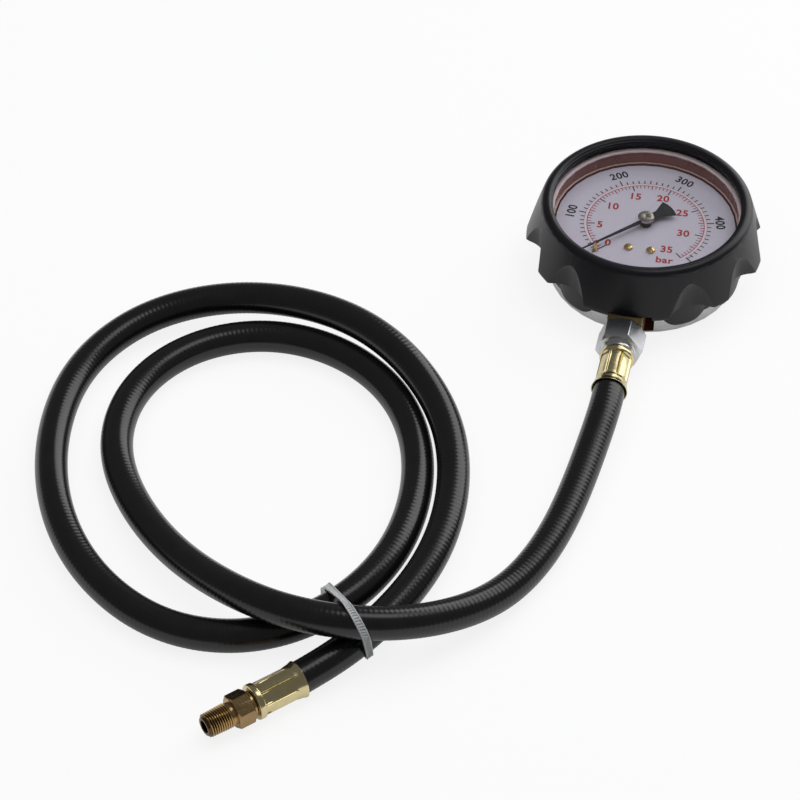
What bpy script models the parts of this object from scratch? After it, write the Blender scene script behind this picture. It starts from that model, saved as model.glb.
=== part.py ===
"""Cylinder pressure gauge: a dial gauge in a rubber boot, lying on its back,
with a crimped rubber hose that ends in a male pipe thread.

The dial's axis is Z and the case back rests on z = 0. The socket points to -Y.
All sizes are in metres.
"""

import math

import bmesh
import bpy
from mathutils import Matrix, Vector, geometry

# Clearances
GAP = 0.0003            # between two pieces that touch on the real gauge
THREAD_GAP = 0.0003     # radial, round a threaded stem whose thread isn't cut
OVERLAP = 0.0010        # how far a cut or a joined body reaches past the face that it meets
TOOTH_PLAY = 0.00012    # each side of a gear tooth

# Facets round a full turn
BIG_STEPS = 36
FITTING_STEPS = 18
SMALL_STEPS = 12

# Case: a pressed cup with a stepped back and a flange for the bezel
CASE_RADIUS = 0.0395
CASE_WALL = 0.0012
CASE_LEDGE = 0.0007         # the wall is this much thicker below the ledge
CASE_LEDGE_LIFT = 0.0008    # the ledge above the dial
CASE_BACK = 0.0012
CASE_CORNER = 0.0016
CASE_FLANGE = 0.0009        # how far the flange stands out
CASE_FLANGE_DEPTH = 0.0012
BACK_PAD_RADIUS = 0.0090
BACK_GROOVE_DEPTH = 0.0015
BACK_GROOVE_OUTER = 0.0282
BACK_GROOVE_SLOPE = 0.0010

# Window and the ring that clamps it
HUB_TO_LENS = 0.0024        # free height over the pointer's hub
GASKET_WIDTH = 0.0022
GASKET_THICKNESS = 0.0006
LENS_THICKNESS = 0.0018
LENS_CHAMFER = 0.0004
BEZEL_WALL = 0.0008
BEZEL_LIP = 0.0009          # the ring's opening is this much inside the case's outside

# Rubber boot
BOOT_LIP_OVERHANG = 0.0002  # the lip's opening is this much inside the ring's opening
BOOT_LIP_RISE = 0.0022      # crown of the lip above its underside
BOOT_RIM_WALL = 0.0017      # round the ring
BOOT_RIM_DROP = 0.0023      # the rim's edge below the crown of the lip
LOBE_FLARE = 0.0056         # the lobes' lower edge stands out this far past the rim
LOBE_DROP = 0.0187          # underside of the lobes below the rim's edge
SLEEVE_WALL = 0.0022
SLEEVE_DROP = 0.0068        # the sleeve's edge below the lobes' underside
TONGUE_DROP = 0.0040        # the tongues under the scallops below the sleeve's edge
SCALLOP_PITCH = math.radians(360 / 11)
SCALLOP_COUNT = 10          # the eleventh place, over the socket, has none
SCALLOP_HALF_ANGLE = math.radians(12.2)
SCALLOP_DROP = 0.0046       # the scallops' tops below the rim's edge
SCALLOP_FLOOR_WALL = 0.0009     # the scallops' floor outside the sleeve
SCALLOP_RISE_POWER = 0.7    # below 1 the scallop's edge stays crisp up to its top
LOBE_COLUMNS = 2
SCALLOP_COLUMNS = 6

# Socket and its opening in the case and the boot
STEM_HEIGHT = 0.0115        # height of the socket's axis
SOCKET_WIDTH = 0.0140
SOCKET_DEPTH = 0.0120       # along Z
SOCKET_REACH = 0.0026       # the socket's outer face past the lobes
SOCKET_INNER = 0.0080
SOCKET_END_WALL = 0.0100    # solid brass between the socket's inner face and its bore
SOCKET_FOOT_RADIUS = 0.0026
STEM_RADIUS = 0.0060
STEM_LENGTH = 0.0080
STEM_ROOT = 0.0040          # its end inside the block
STEM_CHAMFER = 0.0008
STEM_BORE = 0.0018
SLOT_LEFT = 0.0005          # free width of the opening beside the socket
SLOT_RIGHT = 0.0037

# Bourdon tube
TUBE_BEND_RADIUS = 0.0270
TUBE_WIDTH = 0.0036         # along the radius
TUBE_DEPTH = 0.0110         # along Z
TUBE_WALL = 0.0005
TUBE_END_ANGLE = math.radians(170)
TUBE_STEP = math.radians(10)
TUBE_SIDES = 8
TIP_LENGTH = 0.0040
TIP_STUB = (-0.0215, 0.0065)
TIP_STUB_BOSS = 0.0016      # radius of the arm round the stub
TIP_POST_BOSS = 0.0014      # radius of the arm round the post
TIP_POST_RADIUS = 0.0013
TIP_ARM_THICKNESS = 0.0010

# Movement
PLATE_THICKNESS = 0.0010
PLATE_SPACING = 0.0030      # free height between the two plates
TOOTH_MODULE = 0.00036
PINION_TEETH = 10
SECTOR_RATIO = 8            # turns of the pinion for one of the sector
SECTOR_SWING = math.radians(33.75)
SECTOR_THICKNESS = 0.0008
SECTOR_LIFT = 0.0006        # underside of the sector above the lower plate
SECTOR_HUB_RADIUS = 0.0026
SECTOR_SPARE_TEETH = 1
SECTOR_RIM = 0.0024         # behind the pitch circle
TAIL_LENGTH = 0.0065
TAIL_ANGLE = math.radians(100)
TAIL_END_RADIUS = 0.0016
ARBOR_RADIUS = 0.00075
ARBOR_SHOULDER_RADIUS = 0.0014
SHAFT_RADIUS = 0.0008
COLLET_RADIUS = 0.0013
LINK_THICKNESS = 0.0006
LINK_EYE_RADIUS = 0.0013
LINK_PIN_RADIUS = 0.0005
LINK_PIN_HEAD = (0.0009, 0.0003)        # radius, height
PLATE_BOSS_RADIUS = 0.0028  # the plates' corners round their screws and pillars
SHAFT_BOSS_RADIUS = 0.0036
ARBOR_BOSS_RADIUS = 0.0031
PILLAR_RADIUS = 0.0018
PILLAR_SPIGOT_RADIUS = 0.0009
PILLAR_LEFT = (-0.0078, -0.0050)
PILLAR_RIGHT = (0.0090, 0.0170)
SPRING_THICKNESS = 0.00025
SPRING_DEPTH = 0.0006
SPRING_TURNS = 3.5
SPRING_OUTER = 0.0062
SPRING_STEPS = 15           # facets round one turn

# Dial, pointer and stop
DIAL_EDGE_GAP = 0.0006
DIAL_THICKNESS = 0.0006
DIAL_LIFT = 0.0010                  # underside of the dial above the movement
DIAL_TURN = math.radians(3.0)       # the print sits this far round from the socket
ZERO_ANGLE = math.radians(47.5)     # zero mark, left of 6 o'clock on the print
POINTER_END_GAP = 0.0036            # from the pointer's tip to the dial's edge
POINTER_HUB_HALF_WIDTH = 0.0024
POINTER_HALF_WIDTH = 0.0008         # just outside the hub
POINTER_TIP_HALF_WIDTH = 0.0002
POINTER_TAIL_HALF_WIDTH = 0.0017
POINTER_TAIL_NECK = 0.0062
POINTER_TAIL_LENGTH = 0.0130
POINTER_TAIL_WIDTH = 0.0094
POINTER_THICKNESS = 0.0005
POINTER_BUSH_RADIUS = 0.00195
POINTER_BUSH_DEPTH = 0.0023
HUB_RADIUS = 0.00335
HUB_DEPTH = 0.0015
STOP_PIN_RADIUS = 0.0007
STOP_PIN_INSET = 0.0069             # inside the pointer's tip
STOP_PIN_HEIGHT = 0.0036            # above the dial
STOP_PIN_COLLAR = (0.0012, 0.0004)  # radius, height
STOP_PIN_FOOT = 0.0006              # below the dial

# Screws: head radius, head height, shank radius
SCREW_HEAD_RADIUS = 0.00185
SCREW_HEAD_HEIGHT = 0.0010
SCREW_SHANK_RADIUS = 0.0008
SCREW_SLOT = 0.0005
SCREW_SPREAD = 0.0046               # each screw's distance from the socket's line
DIAL_SCREW_LINE = -0.0155
PLATE_SCREW_LINE = -0.0225
CASE_SCREW_LINE = -0.0200
SCREW_REACH = 0.0026                # shank below the piece that it holds
POST_RADIUS = 0.0019

# Hose nut: hexagon and a round collar
NUT_FLATS = 0.0170
NUT_LENGTH = 0.0109
NUT_CHAMFER = 0.0010
NUT_TURN = math.radians(10)
COLLAR_RADIUS = 0.0066
COLLAR_LENGTH = 0.0022
NUT_SEAT_DEPTH = 0.0100             # depth of the threaded bore
TAIL_NECK_RADIUS = 0.0037
TAIL_HEAD_LENGTH = 0.0016
INSERT_BORE = 0.0015

# Crimped ferrule, the same at both ends of the hose
FERRULE_LENGTH = 0.0203
FERRULE_BODY_RADIUS = 0.0062
FERRULE_RIDGE = 0.00025             # ridges between the crimp flats
FERRULE_BEAD_RADIUS = 0.0070
FERRULE_BEAD_LENGTH = 0.0026
FERRULE_MOUTH_RADIUS = 0.0072
FERRULE_MOUTH_LENGTH = 0.0042
FERRULE_MOUTH_WALL = 0.00025        # where the flare begins, round the hose
CRIMP_FLATS = 8
CRIMP_SHARES = (-0.5, -0.3, 0.0, 0.3)   # columns across one flat

# Hose
HOSE_RADIUS = 0.0064
HOSE_POINTS = 66
HOSE_SIDES = 2                      # bevel resolution

# Far fitting: hexagon and male pipe thread
FAR_MOUTH = Vector((-0.0860, -0.2530, 0.0075))
FAR_HEADING = math.radians(226.0)   # the way the thread points
GROOVE_LENGTH = 0.0012
GROOVE_RADIUS = 0.0050
FAR_HEX_FLATS = 0.0120
FAR_HEX_LENGTH = 0.0070
THREAD_RADIUS = 0.00487
THREAD_LENGTH = 0.0117
THREAD_CHAMFER = 0.0008
THREAD_BORE = 0.0025

# Zip tie round the crossing
TIE_START = Vector((-0.0845, -0.2075))      # floor points under its two sides
TIE_END = Vector((-0.0619, -0.2350))
TIE_LEAN = -0.22            # the band leans this much sideways for its height
TIE_WIDTH = 0.0030
TIE_THICKNESS = 0.0011
TIE_EASE = 0.0007           # the band bridges the hose's bend inside its width
TIE_STEPS = 40
TIE_HEAD = (0.0034, 0.0048, 0.0050)         # outwards, along the hose, upwards
TIE_HEAD_ANGLE = math.radians(206)          # low behind the inner strand
TIE_STUB = 0.0012

# Route of the hose's centre line, chosen along the photograph's curve
HOSE_ROUTE = [
    (0.0000, -0.0825, 0.0115), (0.0000, -0.0920, 0.0114), (-0.0012, -0.1105, 0.0098),
    (-0.0040, -0.1375, 0.0077), (-0.0095, -0.1675, 0.0068), (-0.0210, -0.1958, 0.0082),
    (-0.0394, -0.2179, 0.0142), (-0.0638, -0.2324, 0.0208), (-0.0935, -0.2344, 0.0222),
    (-0.1226, -0.2225, 0.0172), (-0.1478, -0.2035, 0.0110), (-0.1692, -0.1800, 0.0077),
    (-0.1839, -0.1515, 0.0068), (-0.1844, -0.1204, 0.0068), (-0.1689, -0.0938, 0.0068),
    (-0.1417, -0.0800, 0.0068), (-0.1106, -0.0831, 0.0068), (-0.0845, -0.1011, 0.0068),
    (-0.0688, -0.1290, 0.0068), (-0.0637, -0.1607, 0.0074), (-0.0680, -0.1920, 0.0084),
    (-0.0832, -0.2190, 0.0085), (-0.1091, -0.2361, 0.0073), (-0.1394, -0.2379, 0.0068),
    (-0.1674, -0.2248, 0.0068), (-0.1892, -0.2022, 0.0068), (-0.2038, -0.1737, 0.0068),
    (-0.2106, -0.1420, 0.0068), (-0.2081, -0.1106, 0.0070), (-0.1921, -0.0841, 0.0092),
    (-0.1646, -0.0690, 0.0125), (-0.1332, -0.0672, 0.0160), (-0.1023, -0.0758, 0.0170),
    (-0.0765, -0.0947, 0.0155), (-0.0578, -0.1215, 0.0125), (-0.0498, -0.1522, 0.0100),
    (-0.0507, -0.1836, 0.0089), (-0.0600, -0.2137, 0.0085), (-0.0757, -0.2406, 0.0082),
    (-0.0886, -0.2556, 0.0075),
]

# Heights that follow from the sizes above
SOCKET_TOP = STEM_HEIGHT + SOCKET_DEPTH / 2
SOCKET_BOTTOM = STEM_HEIGHT - SOCKET_DEPTH / 2
CASE_FLOOR = BACK_GROOVE_DEPTH + CASE_BACK
LOWER_PLATE_BOTTOM = SOCKET_TOP + GAP
LOWER_PLATE_TOP = LOWER_PLATE_BOTTOM + PLATE_THICKNESS
UPPER_PLATE_BOTTOM = LOWER_PLATE_TOP + PLATE_SPACING
UPPER_PLATE_TOP = UPPER_PLATE_BOTTOM + PLATE_THICKNESS
SECTOR_BOTTOM = LOWER_PLATE_TOP + SECTOR_LIFT
SECTOR_TOP = SECTOR_BOTTOM + SECTOR_THICKNESS
LINK_BOTTOM = SECTOR_TOP + GAP
LINK_TOP = LINK_BOTTOM + LINK_THICKNESS
DIAL_BOTTOM = UPPER_PLATE_TOP + DIAL_LIFT
DIAL_TOP = DIAL_BOTTOM + DIAL_THICKNESS
BUSH_BOTTOM = DIAL_TOP + GAP
POINTER_BOTTOM = BUSH_BOTTOM + POINTER_BUSH_DEPTH
POINTER_TOP = POINTER_BOTTOM + POINTER_THICKNESS
HUB_BOTTOM = POINTER_TOP + GAP
LENS_BOTTOM = HUB_BOTTOM + HUB_DEPTH + HUB_TO_LENS
LENS_TOP = LENS_BOTTOM + LENS_THICKNESS
GASKET_BOTTOM = LENS_BOTTOM - GAP - GASKET_THICKNESS
CASE_HEIGHT = GASKET_BOTTOM - GAP
CASE_LEDGE_HEIGHT = DIAL_TOP + CASE_LEDGE_LIFT
BEZEL_TOP = LENS_TOP + GAP + BEZEL_WALL
BEZEL_BOTTOM = CASE_HEIGHT - CASE_FLANGE_DEPTH - GAP - BEZEL_WALL
LIP_UNDERSIDE = BEZEL_TOP + GAP
LIP_CROWN = LIP_UNDERSIDE + BOOT_LIP_RISE
BOOT_RIM_HEIGHT = LIP_CROWN - BOOT_RIM_DROP
SCALLOP_TOP = BOOT_RIM_HEIGHT - SCALLOP_DROP
LOBE_HEIGHT = BOOT_RIM_HEIGHT - LOBE_DROP
SLEEVE_BOTTOM = LOBE_HEIGHT - SLEEVE_DROP
TONGUE_BOTTOM = SLEEVE_BOTTOM - TONGUE_DROP

# Radii that follow from the sizes above
CASE_INSIDE = CASE_RADIUS - CASE_WALL - CASE_LEDGE      # below the ledge
DIAL_RADIUS = CASE_INSIDE - DIAL_EDGE_GAP
POINTER_LENGTH = DIAL_RADIUS - POINTER_END_GAP
STOP_PIN_PLACE = POINTER_LENGTH - STOP_PIN_INSET
BEZEL_INSIDE = CASE_RADIUS + CASE_FLANGE + GAP
BEZEL_RADIUS = BEZEL_INSIDE + BEZEL_WALL
BEZEL_OPENING = CASE_RADIUS - BEZEL_LIP
BOOT_LIP_OPENING = BEZEL_OPENING - BOOT_LIP_OVERHANG
BOOT_RIM_RADIUS = BEZEL_RADIUS + GAP + BOOT_RIM_WALL
SLEEVE_INSIDE = CASE_RADIUS + GAP
SLEEVE_RADIUS = SLEEVE_INSIDE + SLEEVE_WALL
LOBE_RADIUS = BOOT_RIM_RADIUS + LOBE_FLARE
SCALLOP_FLOOR_RADIUS = SLEEVE_RADIUS + SCALLOP_FLOOR_WALL

# Places that follow from the sizes above
SOCKET_FACE = LOBE_RADIUS + SOCKET_REACH        # from the dial's axis to the socket's outer face
PINION_PITCH_RADIUS = TOOTH_MODULE * PINION_TEETH / 2
SECTOR_PITCH_RADIUS = PINION_PITCH_RADIUS * SECTOR_RATIO
SECTOR_PIVOT = Vector((0.0, PINION_PITCH_RADIUS + SECTOR_PITCH_RADIUS))
TAIL_PIVOT = SECTOR_PIVOT + TAIL_LENGTH * Vector((math.cos(TAIL_ANGLE), math.sin(TAIL_ANGLE)))
POINTER_HEADING = math.radians(-90) - ZERO_ANGLE + DIAL_TURN
NUT_START = SOCKET_FACE + 2 * GAP
NUT_END = NUT_START + NUT_LENGTH + COLLAR_LENGTH
NEAR_FERRULE_START = NUT_END + GAP


# Mesh helpers

def remove_everything():
    for thing in list(bpy.data.objects):
        bpy.data.objects.remove(thing)


def make_material(name, colour, roughness, metallic=0.0, alpha=1.0):
    material = bpy.data.materials.new(name)
    material.use_nodes = True
    shader = material.node_tree.nodes["Principled BSDF"]
    shader.inputs["Base Color"].default_value = (*colour, 1.0)
    shader.inputs["Roughness"].default_value = roughness
    shader.inputs["Metallic"].default_value = metallic
    shader.inputs["Alpha"].default_value = alpha
    return material


def add_object(name, bm, material, place=(0, 0, 0), turn=(0, 0, 0), sharp=40):
    """Turns a bmesh into a named, smoothly shaded object."""
    bmesh.ops.remove_doubles(bm, verts=bm.verts, dist=1e-7)
    bmesh.ops.recalc_face_normals(bm, faces=bm.faces)
    mesh = bpy.data.meshes.new(name)
    bm.to_mesh(mesh)
    bm.free()
    mesh.shade_smooth()
    mesh.set_sharp_from_angle(angle=math.radians(sharp))
    mesh.materials.append(material)
    thing = bpy.data.objects.new(name, mesh)
    thing.location = place
    thing.rotation_euler = turn
    bpy.context.collection.objects.link(thing)
    return thing


def turned(profile, steps, closed=False):
    """Spins a profile of (radius, height) points round Z. A closed profile doesn't reach the axis."""
    bm = bmesh.new()
    verts = [bm.verts.new((radius, 0, height)) for radius, height in profile]
    edges = [bm.edges.new(pair) for pair in zip(verts, verts[1:])]
    if closed:
        edges.append(bm.edges.new((verts[-1], verts[0])))
    bmesh.ops.spin(bm, geom=verts + edges, cent=(0, 0, 0), axis=(0, 0, 1),
                   angle=math.tau, steps=steps, use_merge=True)
    bmesh.ops.remove_doubles(bm, verts=bm.verts, dist=1e-7)
    return bm


def rod(radius, bottom, top, steps=SMALL_STEPS, chamfer=0.0):
    profile = [(0, bottom), (radius - chamfer, bottom), (radius, bottom + chamfer),
               (radius, top - chamfer), (radius - chamfer, top), (0, top)]
    if not chamfer:
        profile = [(0, bottom), (radius, bottom), (radius, top), (0, top)]
    return turned(profile, steps)


def sleeve(inner, outer, bottom, top, steps=SMALL_STEPS):
    return turned([(outer, bottom), (outer, top), (inner, top), (inner, bottom)], steps, closed=True)


def plate(outline, holes, bottom, top):
    """A flat plate from an outline and its holes, both lists of (x, y)."""
    bm = bmesh.new()
    edges = []
    for loop in [outline, *holes]:
        verts = [bm.verts.new((x, y, bottom)) for x, y in loop]
        edges += [bm.edges.new((verts[i - 1], verts[i])) for i in range(len(verts))]
    bmesh.ops.triangle_fill(bm, use_beauty=True, use_dissolve=False, edges=edges, normal=(0, 0, 1))
    raised = bmesh.ops.extrude_face_region(bm, geom=bm.faces[:])
    moved = [item for item in raised["geom"] if isinstance(item, bmesh.types.BMVert)]
    bmesh.ops.translate(bm, verts=moved, vec=(0, 0, top - bottom))
    return bm


def block(low, high):
    bm = bmesh.new()
    bmesh.ops.create_cube(bm, size=1.0)
    low, high = Vector(low), Vector(high)
    bmesh.ops.transform(bm, verts=bm.verts, matrix=Matrix.Translation((low + high) / 2)
                        @ Matrix.Diagonal((*(high - low), 1.0)))
    return bm


def skinned(loops, ring=False):
    """Bridges loops of equal length. A ring joins the last to the first, otherwise both ends are capped."""
    bm = bmesh.new()
    rows = [[bm.verts.new(point) for point in loop] for loop in loops]
    pairs = list(zip(rows, rows[1:]))
    if ring:
        pairs.append((rows[-1], rows[0]))
    else:
        bm.faces.new(rows[0])
        bm.faces.new(rows[-1])
    for first, second in pairs:
        for i in range(len(first)):
            bm.faces.new((first[i - 1], first[i], second[i], second[i - 1]))
    return bm


def circle(centre, radius, steps=SMALL_STEPS):
    return [(centre[0] + radius * math.cos(math.tau * i / steps),
             centre[1] + radius * math.sin(math.tau * i / steps)) for i in range(steps)]


def hull_of_circles(circles, steps=16):
    """Outline of a strap drawn tight round circles given as (x, y, radius)."""
    points = [Vector(p) for x, y, r in circles for p in circle((x, y), r, steps)]
    return [points[i] for i in geometry.convex_hull_2d(points)]


def boolean(thing, cutter_bm, operation="DIFFERENCE", place=(0, 0, 0), turn=(0, 0, 0)):
    """Cuts or joins another shape with a modifier. The shape stays as a hidden guide."""
    guide = add_object(thing.name + "_guide", cutter_bm, thing.data.materials[0], place, turn)
    guide.hide_render = True
    guide.display_type = "WIRE"
    modifier = thing.modifiers.new("Boolean", "BOOLEAN")
    modifier.object = guide
    modifier.operation = operation
    modifier.solver = "EXACT"


def hexagon(flats, turn=0.0):
    return [(flats / math.sqrt(3) * math.cos(turn + math.radians(60) * i),
             flats / math.sqrt(3) * math.sin(turn + math.radians(60) * i)) for i in range(6)]


# Case, window and boot

def case_profile():
    """Outer surface from the centre of the back up to the flange, then down the inside."""
    groove_inner = BACK_PAD_RADIUS + BACK_GROOVE_SLOPE
    groove_outer = BACK_GROOVE_OUTER - BACK_GROOVE_SLOPE
    corner = [(CASE_RADIUS - CASE_CORNER * (1 - math.sin(math.radians(a))),
               CASE_CORNER * (1 - math.cos(math.radians(a)))) for a in (0, 45, 90)]
    return [(0, 0), (BACK_PAD_RADIUS, 0), (groove_inner, BACK_GROOVE_DEPTH),
            (groove_outer, BACK_GROOVE_DEPTH), (BACK_GROOVE_OUTER, 0), *corner,
            (CASE_RADIUS, CASE_HEIGHT - CASE_FLANGE_DEPTH),
            (CASE_RADIUS + CASE_FLANGE, CASE_HEIGHT - CASE_FLANGE_DEPTH),
            (CASE_RADIUS + CASE_FLANGE, CASE_HEIGHT), (CASE_RADIUS - CASE_WALL, CASE_HEIGHT),
            (CASE_RADIUS - CASE_WALL, CASE_LEDGE_HEIGHT), (CASE_INSIDE, CASE_LEDGE_HEIGHT),
            (CASE_INSIDE, CASE_BACK), (BACK_GROOVE_OUTER, CASE_BACK),
            (groove_outer, CASE_FLOOR), (groove_inner, CASE_FLOOR),
            (BACK_PAD_RADIUS, CASE_BACK), (0, CASE_BACK)]


def socket_opening(bottom, top):
    """Cutter for the opening that the socket leaves through."""
    half = SOCKET_WIDTH / 2
    return block((-half - SLOT_LEFT, -SOCKET_FACE, bottom), (half + SLOT_RIGHT, -BACK_GROOVE_OUTER, top))


def make_case():
    steel = make_material("bright_steel", (0.72, 0.72, 0.73), 0.28, 1.0)
    case = add_object("gauge_case", turned(case_profile(), BIG_STEPS), steel, sharp=25)
    boolean(case, socket_opening(CASE_BACK + GAP, SOCKET_TOP + GAP))
    for side in (-1, 1):
        boolean(case, rod(SCREW_SHANK_RADIUS + GAP, -OVERLAP, CASE_FLOOR + OVERLAP),
                place=(side * SCREW_SPREAD, CASE_SCREW_LINE, 0))


def make_window():
    rubber = make_material("gasket_rubber", (0.82, 0.76, 0.75), 0.6)
    glass = make_material("clear_lens", (0.95, 0.97, 0.97), 0.05, 0.0, 0.2)
    black = make_material("bezel_black", (0.03, 0.03, 0.03), 0.4, 1.0)
    outside = CASE_RADIUS + CASE_FLANGE - GAP
    add_object("lens_gasket", sleeve(outside - GASKET_WIDTH, outside, GASKET_BOTTOM,
                                     GASKET_BOTTOM + GASKET_THICKNESS, BIG_STEPS), rubber)
    add_object("lens", rod(outside, LENS_BOTTOM, LENS_TOP, BIG_STEPS, LENS_CHAMFER), glass)
    section = [(BEZEL_OPENING, BEZEL_TOP - BEZEL_WALL), (BEZEL_INSIDE, BEZEL_TOP - BEZEL_WALL),
               (BEZEL_INSIDE, BEZEL_BOTTOM + BEZEL_WALL), (CASE_RADIUS + GAP, BEZEL_BOTTOM + BEZEL_WALL),
               (CASE_RADIUS + GAP, BEZEL_BOTTOM), (BEZEL_RADIUS, BEZEL_BOTTOM),
               (BEZEL_RADIUS, BEZEL_TOP), (BEZEL_OPENING, BEZEL_TOP)]
    add_object("bezel_ring", turned(section, BIG_STEPS, closed=True), black)


def boot_columns(half_angle):
    """Angles and places across the scallops for one row, going once round from the socket.

    A place is -1 to 1 across a scallop and None on a lobe.
    """
    columns = []
    first = -math.pi / 2
    for k in range(1, SCALLOP_COUNT + 1):
        centre = first + SCALLOP_PITCH * k
        before = columns[-1][0] if columns else first - SCALLOP_PITCH + half_angle
        lobe = LOBE_COLUMNS if columns else 3 * LOBE_COLUMNS + 1
        step = (centre - half_angle - before) / (lobe + 1)
        columns += [(before + step * (i + 1), None) for i in range(lobe)]
        for i in range(SCALLOP_COLUMNS + 1):
            across = 2 * i / SCALLOP_COLUMNS - 1
            columns.append((centre + half_angle * across, across))
    return columns


def boot_loops():
    """Loops of the boot from the lip's inner edge over the outside to the inside and back."""
    slope = (LOBE_RADIUS - BOOT_RIM_RADIUS) / (BOOT_RIM_HEIGHT - LOBE_HEIGHT)
    scallop_depth = LOBE_RADIUS - SCALLOP_FLOOR_RADIUS
    lip_width = BOOT_RIM_RADIUS - BOOT_LIP_OPENING
    recess = BEZEL_RADIUS + GAP

    def loop(point_at, half_angle):
        points = []
        for angle, across in boot_columns(half_angle):
            radius, height = point_at(across)
            points.append((radius * math.cos(angle), radius * math.sin(angle), height))
        return points

    def ring(radius, height, half_angle=SCALLOP_HALF_ANGLE):
        return loop(lambda across: (radius, height), half_angle)

    def flank(height):
        share = (SCALLOP_TOP - height) / (SCALLOP_TOP - LOBE_HEIGHT)
        cone = BOOT_RIM_RADIUS + slope * (BOOT_RIM_HEIGHT - height)
        depth = scallop_depth * share ** SCALLOP_RISE_POWER
        return loop(lambda across: (cone if across is None
                                    else cone - depth * (1 - abs(across) ** 3), height),
                    SCALLOP_HALF_ANGLE * math.sqrt(max(share, 0.01)))

    def sleeve_edge(radius):
        return loop(lambda across: (radius, SLEEVE_BOTTOM if across is None
                                    else SLEEVE_BOTTOM - TONGUE_DROP * (1 - abs(across) ** 3)),
                    SCALLOP_HALF_ANGLE)

    lip = [ring(BOOT_LIP_OPENING + lip_width * share, LIP_UNDERSIDE + BOOT_LIP_RISE * rise)
           for share, rise in ((0.0, 0.25), (0.12, 0.75), (0.48, 1.0), (0.84, 0.68))]
    heights = [SCALLOP_TOP - (SCALLOP_TOP - LOBE_HEIGHT) * share for share in (0, 0.08, 0.28, 0.6, 1.0)]
    return [*lip, ring(BOOT_RIM_RADIUS, BOOT_RIM_HEIGHT), *[flank(height) for height in heights],
            ring(SLEEVE_RADIUS, LOBE_HEIGHT), sleeve_edge(SLEEVE_RADIUS), sleeve_edge(SLEEVE_INSIDE),
            ring(SLEEVE_INSIDE, BEZEL_BOTTOM - GAP), ring(recess, BEZEL_BOTTOM - GAP),
            ring(recess, LIP_UNDERSIDE), ring(BOOT_LIP_OPENING, LIP_UNDERSIDE)]


def make_boot():
    rubber = make_material("boot_rubber", (0.022, 0.022, 0.024), 0.5)
    boot = add_object("rubber_boot", skinned(boot_loops(), ring=True), rubber, sharp=30)
    boolean(boot, socket_opening(0.0, SOCKET_TOP + GAP))


# Socket and the tube that it feeds

def make_socket():
    brass = make_material("socket_brass", (0.78, 0.6, 0.3), 0.3, 1.0)
    half = SOCKET_WIDTH / 2
    socket = add_object("socket_block", block((-half, -SOCKET_FACE, SOCKET_BOTTOM),
                                              (half, -SOCKET_INNER, SOCKET_TOP)), brass)
    stem = rod(STEM_RADIUS, -STEM_ROOT, STEM_LENGTH, FITTING_STEPS, STEM_CHAMFER)
    towards_hose = (math.pi / 2, 0, 0)
    boolean(socket, stem, "UNION", (0, -SOCKET_FACE, STEM_HEIGHT), towards_hose)
    bore = rod(STEM_BORE, 0, STEM_LENGTH + SOCKET_FACE, SMALL_STEPS)
    boolean(socket, bore, place=(0, -SOCKET_INNER - SOCKET_END_WALL, STEM_HEIGHT),
            turn=(math.pi / 2, math.pi / SMALL_STEPS, 0))
    for side in (-1, 1):
        foot = rod(SOCKET_FOOT_RADIUS, CASE_FLOOR + GAP, SOCKET_BOTTOM + OVERLAP)
        boolean(socket, foot, "UNION", (side * SCREW_SPREAD * 0.95, CASE_SCREW_LINE, 0))
    for side in (-1, 1):
        hole = rod(SCREW_SHANK_RADIUS + GAP, 0, SOCKET_BOTTOM + SCREW_REACH + GAP)
        boolean(socket, hole, place=(side * SCREW_SPREAD, CASE_SCREW_LINE, 0))
        hole = rod(SCREW_SHANK_RADIUS + GAP, SOCKET_TOP - SCREW_REACH - GAP, SOCKET_TOP + OVERLAP)
        boolean(socket, hole, place=(side * SCREW_SPREAD, PLATE_SCREW_LINE, 0))


def tube_start_angle():
    return -math.acos((SOCKET_WIDTH / 2 + GAP + TUBE_WIDTH * 0.15) / (TUBE_BEND_RADIUS - TUBE_WIDTH / 2))


def oval(angle, width, depth):
    """One flattened section of the tube, at an angle round the dial's axis."""
    points = []
    for i in range(TUBE_SIDES):
        a = math.tau * i / TUBE_SIDES
        radius = TUBE_BEND_RADIUS + width / 2 * math.cos(a)
        points.append((radius * math.cos(angle), radius * math.sin(angle),
                       STEM_HEIGHT + depth / 2 * math.sin(a)))
    return points


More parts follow.
